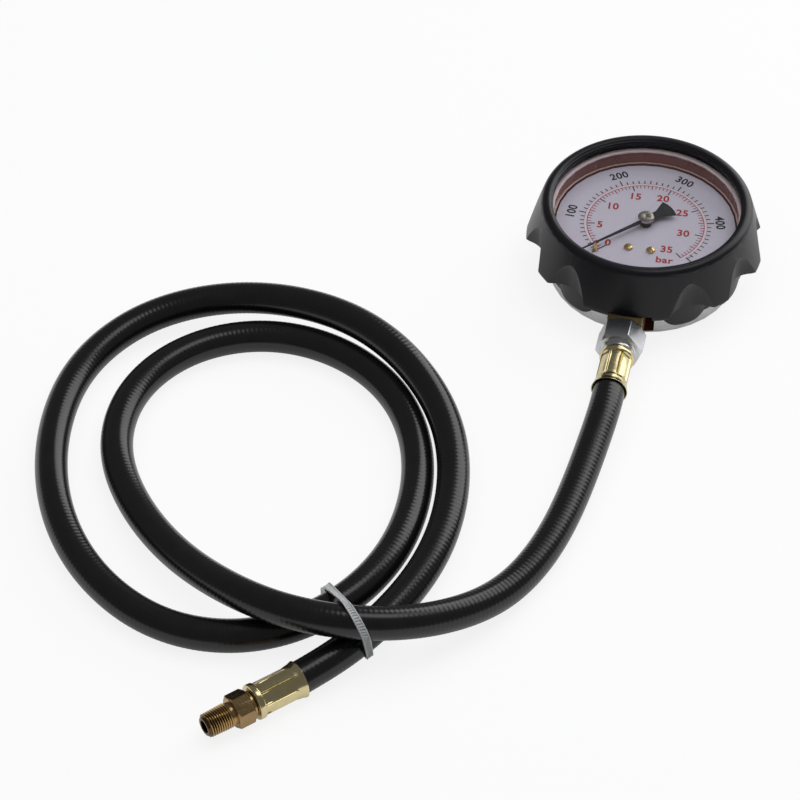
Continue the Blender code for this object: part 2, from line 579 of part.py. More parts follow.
def make_tube():
    bronze = make_material("tube_bronze", (0.62, 0.42, 0.22), 0.35, 1.0)
    brass = make_material("tip_brass", (0.75, 0.58, 0.3), 0.35, 1.0)
    start = tube_start_angle()
    count = round((TUBE_END_ANGLE - start) / TUBE_STEP)
    angles = [start + (TUBE_END_ANGLE - start) * i / count for i in range(count + 1)]
    outer = [oval(a, TUBE_WIDTH, TUBE_DEPTH) for a in angles]
    inner = [oval(a, TUBE_WIDTH - 2 * TUBE_WALL, TUBE_DEPTH - 2 * TUBE_WALL) for a in angles]
    add_object("bourdon_tube", skinned(outer + inner[::-1], ring=True), bronze)

    first = TUBE_END_ANGLE + GAP / TUBE_BEND_RADIUS
    last = first + TIP_LENGTH / TUBE_BEND_RADIUS
    tip = add_object("tube_tip", skinned([oval(a, TUBE_WIDTH, TUBE_DEPTH) for a in (first, last)]), brass)
    middle = TUBE_BEND_RADIUS * Vector((math.cos(last), math.sin(last)))
    arm_bottom = STEM_HEIGHT + TUBE_DEPTH * 0.2
    arm_top = LINK_BOTTOM - 3 * GAP
    arm = plate(hull_of_circles([(*TIP_STUB, TIP_STUB_BOSS), (*(middle * 0.995), TIP_POST_BOSS)], 12), [],
                arm_top - TIP_ARM_THICKNESS, arm_top)
    boolean(tip, arm, "UNION")
    post_top = arm_top - TIP_ARM_THICKNESS * 0.2
    boolean(tip, rod(TIP_POST_RADIUS, arm_bottom, post_top), "UNION", (*(middle * 0.995), 0))
    stub_bottom = arm_top - TIP_ARM_THICKNESS * 0.5
    boolean(tip, rod(LINK_PIN_RADIUS, stub_bottom, LINK_BOTTOM - GAP, 10), "UNION", (*TIP_STUB, 0))


# Movement

def tooth_outline(pitch_radius, teeth, first, last, outward_start):
    """Straight-flanked teeth from tooth index first to last. Tooth 0 points at outward_start."""
    half_pitch = math.pi / teeth
    root = pitch_radius - TOOTH_MODULE * 1.15
    crest = pitch_radius + TOOTH_MODULE * 0.85
    play = TOOTH_PLAY / pitch_radius
    points = []
    for k in range(first, last + 1):
        middle = outward_start + 2 * half_pitch * k
        for share, radius in ((-0.78, root), (-0.24, crest), (0.24, crest), (0.78, root)):
            angle = middle + half_pitch * share
            if radius == crest:
                angle -= math.copysign(play * 0.5, share)
            else:
                angle -= math.copysign(play, share)
            points.append((radius * math.cos(angle), radius * math.sin(angle)))
    return points


def make_sector():
    """Origin on the sector's pivot."""
    brass = make_material("sector_brass", (0.8, 0.63, 0.34), 0.3, 1.0)
    teeth = PINION_TEETH * SECTOR_RATIO
    swept = math.ceil(SECTOR_SWING / math.tau * teeth)
    teeth_points = tooth_outline(SECTOR_PITCH_RADIUS, teeth, -swept - SECTOR_SPARE_TEETH,
                                 SECTOR_SPARE_TEETH, -math.pi / 2)
    first_angle = math.atan2(teeth_points[0][1], teeth_points[0][0])
    last_angle = math.atan2(teeth_points[-1][1], teeth_points[-1][0])
    rim_inner = SECTOR_PITCH_RADIUS - SECTOR_RIM
    hub = SECTOR_HUB_RADIUS
    tail = TAIL_LENGTH * Vector((math.cos(TAIL_ANGLE), math.sin(TAIL_ANGLE)))

    def polar(radius, angle):
        return (radius * math.cos(angle), radius * math.sin(angle))

    across = Vector((-tail.y, tail.x)).normalized()
    outline = list(teeth_points)
    outline += [polar(hub, last_angle + math.radians(50)),
                polar(hub, math.radians(20))]
    outline += [tuple(tail - across * TAIL_END_RADIUS)]
    outline += [tuple(tail + TAIL_END_RADIUS * Vector(polar(1, TAIL_ANGLE + math.radians(a))))
                for a in (-45, 0, 45)]
    outline += [tuple(tail + across * TAIL_END_RADIUS)]
    outline += [polar(hub, math.radians(170)), polar(hub, first_angle - math.radians(50))]
    spread = (last_angle - first_angle) * 0.36
    middle_angle = (first_angle + last_angle) / 2
    window = [polar(rim_inner, middle_angle + spread * s) for s in (-1, -0.5, 0, 0.5, 1)]
    window += [polar(hub * 1.9, middle_angle + spread * 0.75), polar(hub * 1.9, middle_angle - spread * 0.75)]
    holes = [circle((0, 0), ARBOR_RADIUS + GAP), circle(tail, LINK_PIN_RADIUS + GAP, 10), window]
    pivot = (*SECTOR_PIVOT, 0)
    add_object("sector_gear", plate(outline, holes, SECTOR_BOTTOM, SECTOR_TOP), brass, pivot)

    steel = make_material("arbor_steel", (0.6, 0.6, 0.62), 0.25, 1.0)
    shoulder = SECTOR_TOP + GAP
    profile = [(0, LOWER_PLATE_BOTTOM - 0.0004), (ARBOR_RADIUS, LOWER_PLATE_BOTTOM - 0.0004),
               (ARBOR_RADIUS, shoulder), (ARBOR_SHOULDER_RADIUS, shoulder),
               (ARBOR_SHOULDER_RADIUS, UPPER_PLATE_BOTTOM - GAP), (ARBOR_RADIUS, UPPER_PLATE_BOTTOM - GAP),
               (ARBOR_RADIUS, UPPER_PLATE_TOP + 0.0003), (0, UPPER_PLATE_TOP + 0.0003)]
    add_object("sector_arbor", turned(profile, SMALL_STEPS), steel, pivot)


def make_link():
    """The link's origin is on its pivot at the sector's tail."""
    steel = make_material("link_steel", (0.62, 0.62, 0.64), 0.3, 1.0)
    far = Vector(TIP_STUB) - TAIL_PIVOT
    place = (*TAIL_PIVOT, 0)
    outline = hull_of_circles([(0, 0, LINK_EYE_RADIUS), (*far, LINK_EYE_RADIUS)])
    holes = [circle(centre, LINK_PIN_RADIUS + GAP, 10) for centre in ((0, 0), far)]
    add_object("link", plate(outline, holes, LINK_BOTTOM, LINK_TOP), steel, place)
    head_radius, head_height = LINK_PIN_HEAD
    head_bottom = LINK_TOP + GAP
    profile = [(0, SECTOR_BOTTOM), (LINK_PIN_RADIUS, SECTOR_BOTTOM), (LINK_PIN_RADIUS, head_bottom),
               (head_radius, head_bottom), (head_radius, head_bottom + head_height),
               (0, head_bottom + head_height)]
    add_object("link_pin", turned(profile, 10), steel, place)


def make_pinion():
    steel = make_material("pinion_steel", (0.66, 0.66, 0.68), 0.22, 1.0)
    shaft_top = HUB_BOTTOM + HUB_DEPTH * 0.5
    collet_bottom = SECTOR_TOP + GAP
    profile = [(0, LOWER_PLATE_BOTTOM - 0.0008), (SHAFT_RADIUS, LOWER_PLATE_BOTTOM - 0.0008),
               (SHAFT_RADIUS, collet_bottom), (COLLET_RADIUS, collet_bottom),
               (COLLET_RADIUS, UPPER_PLATE_BOTTOM - GAP), (SHAFT_RADIUS, UPPER_PLATE_BOTTOM - GAP),
               (SHAFT_RADIUS, shaft_top), (0, shaft_top)]
    shaft = add_object("pinion_shaft", turned(profile, SMALL_STEPS), steel)
    start = math.pi / 2 + math.pi / PINION_TEETH
    outline = tooth_outline(PINION_PITCH_RADIUS, PINION_TEETH, 0, PINION_TEETH - 1, start)
    boolean(shaft, plate(outline, [], LOWER_PLATE_TOP + GAP, collet_bottom + 0.0002), "UNION")


def make_plates():
    brass = make_material("plate_brass", (0.8, 0.64, 0.36), 0.32, 1.0)
    screws = [(side * SCREW_SPREAD, PLATE_SCREW_LINE) for side in (-1, 1)]
    posts = [(side * SCREW_SPREAD, DIAL_SCREW_LINE) for side in (-1, 1)]
    pillars = [PILLAR_LEFT, PILLAR_RIGHT]
    shaft_hole = circle((0, 0), SHAFT_RADIUS + GAP)
    arbor_hole = circle(SECTOR_PIVOT, ARBOR_RADIUS + GAP)
    pillar_holes = [circle(p, PILLAR_SPIGOT_RADIUS + GAP) for p in pillars]
    outline = hull_of_circles([(*p, PLATE_BOSS_RADIUS) for p in screws + pillars]
                              + [(*SECTOR_PIVOT, ARBOR_BOSS_RADIUS)])
    holes = [shaft_hole, arbor_hole, *pillar_holes]
    holes += [circle(p, SCREW_SHANK_RADIUS + GAP, 10) for p in screws + posts]
    add_object("lower_plate", plate(outline, holes, LOWER_PLATE_BOTTOM, LOWER_PLATE_TOP), brass)
    outline = hull_of_circles([(*p, PLATE_BOSS_RADIUS) for p in pillars]
                              + [(0, 0, SHAFT_BOSS_RADIUS), (*SECTOR_PIVOT, ARBOR_BOSS_RADIUS)])
    add_object("upper_plate", plate(outline, [shaft_hole, arbor_hole, *pillar_holes],
                                    UPPER_PLATE_BOTTOM, UPPER_PLATE_TOP), brass)
    shoulder_low, shoulder_high = LOWER_PLATE_TOP + GAP, UPPER_PLATE_BOTTOM - GAP
    profile = [(0, LOWER_PLATE_BOTTOM), (PILLAR_SPIGOT_RADIUS, LOWER_PLATE_BOTTOM),
               (PILLAR_SPIGOT_RADIUS, shoulder_low), (PILLAR_RADIUS, shoulder_low),
               (PILLAR_RADIUS, shoulder_high), (PILLAR_SPIGOT_RADIUS, shoulder_high),
               (PILLAR_SPIGOT_RADIUS, UPPER_PLATE_TOP), (0, UPPER_PLATE_TOP)]
    for name, place in (("pillar_left", PILLAR_LEFT), ("pillar_right", PILLAR_RIGHT)):
        add_object(name, turned(profile, SMALL_STEPS), brass, (*place, 0))


def make_hairspring():
    steel = make_material("spring_bronze", (0.7, 0.52, 0.28), 0.3, 1.0)
    inner = COLLET_RADIUS + GAP + SPRING_THICKNESS / 2
    count = round(SPRING_TURNS * SPRING_STEPS)
    top = UPPER_PLATE_BOTTOM - GAP
    loops = []
    for i in range(count + 1):
        angle = math.tau * i / SPRING_STEPS
        radius = inner + (SPRING_OUTER - inner) * i / count
        corners = ((-1, top - SPRING_DEPTH), (1, top - SPRING_DEPTH), (1, top), (-1, top))
        loops.append([((radius + side * SPRING_THICKNESS / 2) * math.cos(angle),
                       (radius + side * SPRING_THICKNESS / 2) * math.sin(angle), height)
                      for side, height in corners])
    add_object("hairspring", skinned(loops), steel)


# Dial, pointer and screws

def add_screw(name, place, seat, reach, material, upward=True):
    """A slotted screw whose head lies on a seat height. With upward False it points up from below."""
    head = SCREW_HEAD_HEIGHT
    profile = [(0, -reach), (SCREW_SHANK_RADIUS, -reach), (SCREW_SHANK_RADIUS, GAP),
               (SCREW_HEAD_RADIUS, GAP), (SCREW_HEAD_RADIUS, GAP + head * 0.6),
               (SCREW_HEAD_RADIUS * 0.7, GAP + head), (0, GAP + head)]
    turn = (0, 0, 0) if upward else (math.pi, 0, 0)
    screw = add_object(name, turned(profile, SMALL_STEPS), material, (*place, seat), turn)
    slot = block((-SCREW_HEAD_RADIUS * 1.2, -SCREW_SLOT / 2, GAP + head * 0.55),
                 (SCREW_HEAD_RADIUS * 1.2, SCREW_SLOT / 2, GAP + head * 1.5))
    boolean(screw, slot, place=(*place, seat), turn=turn)


def make_screws():
    brass = make_material("screw_brass", (0.8, 0.62, 0.3), 0.25, 1.0)
    zinc = make_material("screw_zinc", (0.65, 0.65, 0.66), 0.3, 1.0)
    for side, word in ((-1, "left"), (1, "right")):
        x = side * SCREW_SPREAD
        add_screw("dial_screw_" + word, (x, DIAL_SCREW_LINE), DIAL_TOP,
                  DIAL_THICKNESS + SCREW_REACH, brass)
        add_screw("plate_screw_" + word, (x, PLATE_SCREW_LINE), LOWER_PLATE_TOP,
                  PLATE_THICKNESS + SCREW_REACH, zinc)
        add_screw("case_screw_" + word, (x, CASE_SCREW_LINE), BACK_GROOVE_DEPTH,
                  SOCKET_BOTTOM - BACK_GROOVE_DEPTH + SCREW_REACH - GAP, zinc, upward=False)
        post = sleeve(SCREW_SHANK_RADIUS + GAP, POST_RADIUS, LOWER_PLATE_TOP + GAP, DIAL_BOTTOM - GAP)
        add_object("dial_post_" + word, post, brass, (x, DIAL_SCREW_LINE, 0))


def make_dial():
    white = make_material("dial_white", (0.8, 0.78, 0.82), 0.5)
    clearance = POINTER_TIP_HALF_WIDTH * 1.6 + STOP_PIN_RADIUS + GAP
    stop_heading = POINTER_HEADING + clearance / STOP_PIN_PLACE
    stop = STOP_PIN_PLACE * Vector((math.cos(stop_heading), math.sin(stop_heading)))
    holes = [circle((0, 0), POINTER_BUSH_RADIUS + GAP)]
    holes += [circle((side * SCREW_SPREAD, DIAL_SCREW_LINE), SCREW_SHANK_RADIUS + GAP) for side in (-1, 1)]
    holes += [circle(stop, STOP_PIN_RADIUS + GAP, 10)]
    add_object("dial_plate", plate(circle((0, 0), DIAL_RADIUS, BIG_STEPS), holes, DIAL_BOTTOM, DIAL_TOP),
               white)
    brass = make_material("stop_brass", (0.85, 0.76, 0.6), 0.35, 1.0)
    collar_radius, collar_height = STOP_PIN_COLLAR
    foot, collar, tip = DIAL_BOTTOM - STOP_PIN_FOOT, DIAL_TOP + GAP, DIAL_TOP + STOP_PIN_HEIGHT
    profile = [(0, foot), (STOP_PIN_RADIUS, foot), (STOP_PIN_RADIUS, collar), (collar_radius, collar),
               (collar_radius, collar + collar_height), (STOP_PIN_RADIUS, collar + collar_height),
               (STOP_PIN_RADIUS, tip), (0, tip)]
    add_object("stop_pin", turned(profile, 12), brass, (*stop, 0))


def make_pointer():
    """The blade is drawn along +X and turned to the zero mark."""
    black = make_material("pointer_black", (0.02, 0.02, 0.022), 0.45)
    silver = make_material("hub_silver", (0.75, 0.75, 0.76), 0.25, 1.0)
    hub = POINTER_HUB_HALF_WIDTH
    tail_half_angle = math.asin(POINTER_TAIL_WIDTH / 2 / POINTER_TAIL_LENGTH)
    fan = [(-POINTER_TAIL_LENGTH * math.cos(tail_half_angle * s),
            POINTER_TAIL_LENGTH * math.sin(tail_half_angle * s)) for s in (1, 0.5, 0, -0.5, -1)]
    outline = [(POINTER_LENGTH, POINTER_TIP_HALF_WIDTH), (hub * 1.2, POINTER_HALF_WIDTH),
               (0, hub), (-hub * 1.2, POINTER_TAIL_HALF_WIDTH),
               (-POINTER_TAIL_NECK, POINTER_TAIL_HALF_WIDTH), *fan,
               (-POINTER_TAIL_NECK, -POINTER_TAIL_HALF_WIDTH),
               (-hub * 1.2, -POINTER_TAIL_HALF_WIDTH), (0, -hub),
               (hub * 1.2, -POINTER_HALF_WIDTH), (POINTER_LENGTH, -POINTER_TIP_HALF_WIDTH)]
    turn = (0, 0, POINTER_HEADING)
    pointer = add_object("pointer", plate(outline, [], POINTER_BOTTOM, POINTER_TOP), black, turn=turn)
    boolean(pointer, rod(POINTER_BUSH_RADIUS, BUSH_BOTTOM, POINTER_BOTTOM + POINTER_THICKNESS / 2), "UNION")
    boolean(pointer, rod(SHAFT_RADIUS + GAP, BUSH_BOTTOM - OVERLAP, POINTER_TOP + OVERLAP))
    profile = [(0, HUB_BOTTOM + HUB_DEPTH), (HUB_RADIUS * 0.86, HUB_BOTTOM + HUB_DEPTH),
               (HUB_RADIUS, HUB_BOTTOM + HUB_DEPTH * 0.7), (HUB_RADIUS, HUB_BOTTOM),
               (SHAFT_RADIUS + GAP, HUB_BOTTOM), (SHAFT_RADIUS + GAP, HUB_BOTTOM + HUB_DEPTH * 0.75),
               (0, HUB_BOTTOM + HUB_DEPTH * 0.75)]
    add_object("pointer_hub", turned(profile, FITTING_STEPS), silver)


# Hose fittings

def make_nut():
    """Built along +Z from the socket's face, then laid towards -Y."""
    zinc = make_material("nut_zinc", (0.7, 0.71, 0.72), 0.3, 1.0)
    place, turn = (0, -NUT_START, STEM_HEIGHT), (math.pi / 2, 0, 0)
    corner = NUT_FLATS / math.sqrt(3)
    nut = add_object("hose_nut", plate(hexagon(NUT_FLATS, NUT_TURN), [], 0, NUT_LENGTH), zinc, place, turn)
    rise = NUT_CHAMFER * math.tan(math.radians(30))
    barrel = [(0, 0), (corner - NUT_CHAMFER * 1.3, 0), (corner + 0.0002, rise + 0.0004),
              (corner + 0.0002, NUT_LENGTH - rise - 0.0004), (corner - NUT_CHAMFER * 1.3, NUT_LENGTH),
              (0, NUT_LENGTH)]
    boolean(nut, turned(barrel, FITTING_STEPS), "INTERSECT", place, turn)
    collar = rod(COLLAR_RADIUS, NUT_LENGTH - OVERLAP, NUT_LENGTH + COLLAR_LENGTH, FITTING_STEPS)
    boolean(nut, collar, "UNION", place, turn)
    bore = rod(STEM_RADIUS + THREAD_GAP, -OVERLAP, NUT_SEAT_DEPTH, FITTING_STEPS)
    boolean(nut, bore, place=place, turn=turn)
    neck = rod(TAIL_NECK_RADIUS + GAP, NUT_SEAT_DEPTH - OVERLAP, NUT_LENGTH + COLLAR_LENGTH + OVERLAP,
               FITTING_STEPS)
    boolean(nut, neck, place=place, turn=turn)

    brass = make_material("tail_brass", (0.74, 0.58, 0.3), 0.35, 1.0)
    stem_end = SOCKET_FACE + STEM_LENGTH
    head_end = NUT_START + NUT_SEAT_DEPTH - GAP
    tail_end = NEAR_FERRULE_START + FERRULE_LENGTH - FERRULE_MOUTH_LENGTH - GAP
    profile = [(INSERT_BORE, stem_end + GAP), (STEM_RADIUS - 0.0006, stem_end + GAP),
               (STEM_RADIUS, stem_end + 2 * GAP), (STEM_RADIUS, head_end),
               (TAIL_NECK_RADIUS, head_end), (TAIL_NECK_RADIUS, tail_end), (INSERT_BORE, tail_end)]
    add_object("hose_tail", turned(profile, FITTING_STEPS, closed=True), brass,
               (0, 0, STEM_HEIGHT), turn)


def ferrule_loops():
    """Loops along the ferrule, from the bead's end over the outside to the mouth and back inside."""
    body = FERRULE_BODY_RADIUS
    bead, mouth = FERRULE_BEAD_LENGTH, FERRULE_LENGTH - FERRULE_MOUTH_LENGTH
    angles = [(flat + share) * math.tau / CRIMP_FLATS
              for flat in range(CRIMP_FLATS) for share in CRIMP_SHARES]

    def round_loop(radius, along):
        return [(radius * math.cos(a), radius * math.sin(a), along) for a in angles]

    def crimp_loop(along):
        points = []
        for i, a in enumerate(angles):
            on_ridge = i % len(CRIMP_SHARES) == 0
            flat_middle = round(a / math.tau * CRIMP_FLATS) * math.tau / CRIMP_FLATS
            radius = body + FERRULE_RIDGE if on_ridge else body / math.cos((a - flat_middle) * 0.8)
            points.append((radius * math.cos(a), radius * math.sin(a), along))
        return points

    bore = TAIL_NECK_RADIUS + GAP
    hose_bore = HOSE_RADIUS + GAP
    return [round_loop(FERRULE_BEAD_RADIUS - 0.0008, 0), round_loop(FERRULE_BEAD_RADIUS, 0.0006),
            round_loop(FERRULE_BEAD_RADIUS, bead - 0.0006), round_loop(body + 0.0002, bead),
            crimp_loop(bead + 0.0008), crimp_loop(mouth - 0.0012),
            round_loop(hose_bore + FERRULE_MOUTH_WALL, mouth),
            round_loop(FERRULE_MOUTH_RADIUS - 0.0001, FERRULE_LENGTH - 0.0012),
            round_loop(FERRULE_MOUTH_RADIUS, FERRULE_LENGTH),
            round_loop(hose_bore + 0.0001, FERRULE_LENGTH), round_loop(hose_bore, mouth),
            round_loop(bore, mouth), round_loop(bore, 0)]


def far_direction():
    return Vector((math.cos(FAR_HEADING), math.sin(FAR_HEADING), 0))


def make_ferrules():
    brass = make_material("ferrule_brass", (0.82, 0.68, 0.36), 0.25, 1.0)
    add_object("near_ferrule", skinned(ferrule_loops(), ring=True), brass,
               (0, -NEAR_FERRULE_START, STEM_HEIGHT), (math.pi / 2, 0, 0), sharp=25)
    add_object("far_ferrule", skinned(ferrule_loops(), ring=True), brass,
               FAR_MOUTH + far_direction() * FERRULE_LENGTH,
               (math.pi / 2, 0, FAR_HEADING - math.pi / 2), sharp=25)


def make_far_fitting():
    """Built along +Z from the ferrule's bead, with the insert reaching back into the ferrule."""
    brass = make_material("fitting_brass", (0.55, 0.4, 0.2), 0.3, 1.0)
    place = FAR_MOUTH + far_direction() * (FERRULE_LENGTH + GAP)
    turn = (math.pi / 2, 0, FAR_HEADING + math.pi / 2)
    insert = FERRULE_LENGTH - FERRULE_MOUTH_LENGTH
    hex_start, hex_end = GROOVE_LENGTH, GROOVE_LENGTH + FAR_HEX_LENGTH
    tip = hex_end + THREAD_LENGTH
    core = [(0, -insert), (TAIL_NECK_RADIUS, -insert), (TAIL_NECK_RADIUS, 0), (GROOVE_RADIUS, 0),
            (GROOVE_RADIUS, hex_start + OVERLAP), (THREAD_RADIUS, hex_start + OVERLAP),
            (THREAD_RADIUS, tip - THREAD_CHAMFER), (THREAD_RADIUS - THREAD_CHAMFER, tip), (0, tip)]
    fitting = add_object("far_fitting", turned(core, FITTING_STEPS), brass, place, turn)
    corner = FAR_HEX_FLATS / math.sqrt(3)
    chamfer = 0.0006
    barrel = [(0, hex_start), (corner - chamfer, hex_start), (corner, hex_start + chamfer * 0.6),
              (corner, hex_end - chamfer * 0.6), (corner - chamfer, hex_end), (0, hex_end)]
    nut = add_object("far_hex_guide", plate(hexagon(FAR_HEX_FLATS, math.pi / 6), [], hex_start, hex_end),
                     brass, place, turn)
    nut.hide_render = True
    nut.display_type = "WIRE"
    boolean(nut, turned(barrel, FITTING_STEPS), "INTERSECT", place, turn)
    joined = fitting.modifiers.new("Hexagon", "BOOLEAN")
    joined.object = nut
    joined.operation = "UNION"
    boolean(fitting, rod(THREAD_BORE, -insert - OVERLAP, tip + OVERLAP, SMALL_STEPS), place=place, turn=turn)


# Hose and tie

def natural_spline(points, samples):
    """Smooth curve through the points, sampled at even steps of its chord length."""
    lengths = [0.0]
    for a, b in zip(points, points[1:]):
        lengths.append(lengths[-1] + (b - a).length)
    count = len(points)
    bends = [Vector((0, 0, 0)) for _ in points]
    upper = [0.0] * count
    for i in range(1, count - 1):
        before, after = lengths[i] - lengths[i - 1], lengths[i + 1] - lengths[i]
        rise = (points[i + 1] - points[i]) / after - (points[i] - points[i - 1]) / before
        pivot = 2 * (before + after) - before * upper[i - 1]
        upper[i] = after / pivot
        bends[i] = (6 * rise - before * bends[i - 1]) / pivot
    for i in range(count - 2, 0, -1):
        bends[i] = bends[i] - upper[i] * bends[i + 1]
    curve = []
    span = 0
    for k in range(samples):
        at = lengths[-1] * k / (samples - 1)
        while span < count - 2 and at > lengths[span + 1]:
            span += 1
        width = lengths[span + 1] - lengths[span]
        a, b = (lengths[span + 1] - at) / width, (at - lengths[span]) / width
        curve.append(a * points[span] + b * points[span + 1]
                     + ((a ** 3 - a) * bends[span] + (b ** 3 - b) * bends[span + 1]) * width ** 2 / 6)
    return curve


def hose_line(samples):
    return natural_spline([Vector(point) for point in HOSE_ROUTE], samples)


def make_hose():
    rubber = make_material("hose_rubber", (0.02, 0.02, 0.021), 0.42)
    curve = bpy.data.curves.new("hose", "CURVE")
    curve.dimensions = "3D"
    curve.bevel_depth = HOSE_RADIUS
    curve.bevel_resolution = HOSE_SIDES
    curve.use_fill_caps = True
    spline = curve.splines.new("POLY")
    line = hose_line(HOSE_POINTS)
    spline.points.add(len(line) - 1)
    for point, place in zip(spline.points, line):
        point.co = (*place, 1.0)
    curve.materials.append(rubber)
    bpy.context.collection.objects.link(bpy.data.objects.new("hose", curve))


def tie_crossings(start, along):
    """Where the hose crosses the band's leaning plane.

    Each crossing is (distance along the plane, height, half width there, slant of the section).
    """
    normal = Vector((-along.y, along.x))
    reach = (TIE_END - TIE_START).length
    line = hose_line(HOSE_POINTS)

    def off_plane(point):
        return (point.xy - start).dot(normal) - TIE_LEAN * point.z

    found = []
    for a, b in zip(line, line[1:]):
        before, after = off_plane(a), off_plane(b)
        if before * after > 0:
            continue
        point = a.lerp(b, before / (before - after))
        place = (point.xy - start).dot(along)
        heading = (b - a).normalized()
        through, aside = heading.xy.dot(normal), heading.xy.dot(along)
        if -HOSE_RADIUS < place < reach + HOSE_RADIUS:
            found.append((place, point.z, HOSE_RADIUS / abs(through), TIE_LEAN * aside / through))
    return found


def strap_point(crossings, angle, extra):
    """The point furthest out at an angle of a strap drawn round the hose's sections."""
    out = Vector((math.cos(angle), math.sin(angle)))
    points = []
    for place, height, half, slant in crossings:
        wide, tall = half + extra, HOSE_RADIUS + extra
        across, upward = wide * out.x, tall * (out.y + slant * out.x)
        length = math.hypot(across, upward)
        rise = tall * upward / length
        points.append(Vector((place + wide * across / length + slant * rise, height + rise)))
    return max(points, key=lambda point: point.dot(out))


def make_tie():
    """A closed band drawn round the crossing hoses, with its head low on the far side."""
    nylon = make_material("tie_nylon", (0.7, 0.72, 0.72), 0.45)
    along = (TIE_END - TIE_START).normalized()
    normal = Vector((-along.y, along.x))
    outer = TIE_EASE + TIE_THICKNESS

    def placed(start, flat):
        return start + along * flat.x + normal * TIE_LEAN * flat.y

    sides = []
    for side in (-1, 1):
        start = TIE_START + normal * side * TIE_WIDTH / 2
        sides.append((start, tie_crossings(start, along)))

    def loop(which, extra):
        start, crossings = sides[which]
        flats = [strap_point(crossings, math.tau * i / TIE_STEPS, extra) for i in range(TIE_STEPS)]
        return [(*placed(start, flat), flat.y) for flat in flats]

    band = skinned([loop(0, TIE_EASE), loop(0, outer), loop(1, outer), loop(1, TIE_EASE)], ring=True)
    tie = add_object("zip_tie", band, nylon)
    edge = strap_point(tie_crossings(TIE_START, along), TIE_HEAD_ANGLE, outer)
    deep, wide, tall = TIE_HEAD
    head = block((-deep, -wide / 2, 0), (TIE_THICKNESS * 0.5, wide / 2, tall))
    place = (*placed(TIE_START, edge), edge.y - tall / 2)
    turn = (0, 0, math.atan2(along.y, along.x))
    boolean(tie, head, "UNION", place, turn)
    stub = block((-deep * 0.75, -TIE_WIDTH / 2, tall / 2),
                 (-deep * 0.75 + TIE_THICKNESS, TIE_WIDTH / 2, tall + TIE_STUB))
    boolean(tie, stub, "UNION", place, turn)


def main():
    remove_everything()
    make_case()
    make_window()
    make_boot()
    make_socket()
    make_tube()
    make_sector()
    make_link()
    make_pinion()
    make_plates()
    make_hairspring()
    make_screws()
    make_dial()
    make_pointer()
    make_nut()
    make_ferrules()
    make_far_fitting()
    make_hose()
    make_tie()


main()
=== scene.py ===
"""Looks for the cylinder pressure gauge.

Materials for every piece, the dial's print, and finer surfaces for the nut, the ferrules, the far
fitting, the tie, the hose, the boot, the pointer's hub and the dial's screws.
"""

import math

import bmesh
import bpy
from mathutils import Euler, Matrix, Vector


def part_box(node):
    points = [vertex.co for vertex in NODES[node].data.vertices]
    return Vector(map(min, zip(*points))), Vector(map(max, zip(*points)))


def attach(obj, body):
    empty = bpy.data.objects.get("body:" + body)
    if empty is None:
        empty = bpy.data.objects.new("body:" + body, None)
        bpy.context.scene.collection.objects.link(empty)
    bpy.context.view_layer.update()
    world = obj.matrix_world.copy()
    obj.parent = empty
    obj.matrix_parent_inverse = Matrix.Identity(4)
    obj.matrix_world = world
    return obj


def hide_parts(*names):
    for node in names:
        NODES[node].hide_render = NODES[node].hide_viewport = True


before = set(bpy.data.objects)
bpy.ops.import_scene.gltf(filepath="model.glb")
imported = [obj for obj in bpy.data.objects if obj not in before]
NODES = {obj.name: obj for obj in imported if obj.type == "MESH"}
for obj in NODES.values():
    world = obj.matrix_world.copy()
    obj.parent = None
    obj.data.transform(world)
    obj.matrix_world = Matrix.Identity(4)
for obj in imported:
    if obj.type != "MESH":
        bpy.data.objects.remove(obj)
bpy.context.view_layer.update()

# Sizes and places repeated from the part's source, in metres
HOSE_RADIUS = 0.0064
HOSE_POINTS = 66
STEM_HEIGHT = 0.0115
SOCKET_FACE = 0.0517
NUT_START = 0.0523
NUT_FLATS = 0.0170
NUT_LENGTH = 0.0109
NUT_TURN = math.radians(10)
COLLAR_RADIUS = 0.0066
COLLAR_LENGTH = 0.0022
FERRULE_START = 0.0657
FERRULE_LENGTH = 0.0203
FERRULE_BEAD = 0.0070
FERRULE_MOUTH = 0.0072
FERRULE_FLAT = 0.0062
FERRULE_RIDGE = 0.00648
CRIMP_FLATS = 8
FAR_MOUTH = Vector((-0.0860, -0.2530, 0.0075))
FAR_HEADING = math.radians(226.0)
FAR_DIRECTION = Vector((math.cos(FAR_HEADING), math.sin(FAR_HEADING), 0))
GROOVE_LENGTH = 0.0012
GROOVE_RADIUS = 0.0050
FAR_HEX_FLATS = 0.0120
FAR_HEX_LENGTH = 0.0070
THREAD_RADIUS = 0.00487
THREAD_LENGTH = 0.0117
THREAD_BORE = 0.0025
TIE_START = Vector((-0.0845, -0.2075))
TIE_END = Vector((-0.0619, -0.2350))
TIE_LEAN = -0.22
TIE_WIDTH = 0.0030
TIE_THICKNESS = 0.0011
TIE_EASE = 0.0007
TIE_HEAD = (0.0034, 0.0048, 0.0050)
TIE_HEAD_ANGLE = math.radians(206)
TIE_STUB = 0.0012

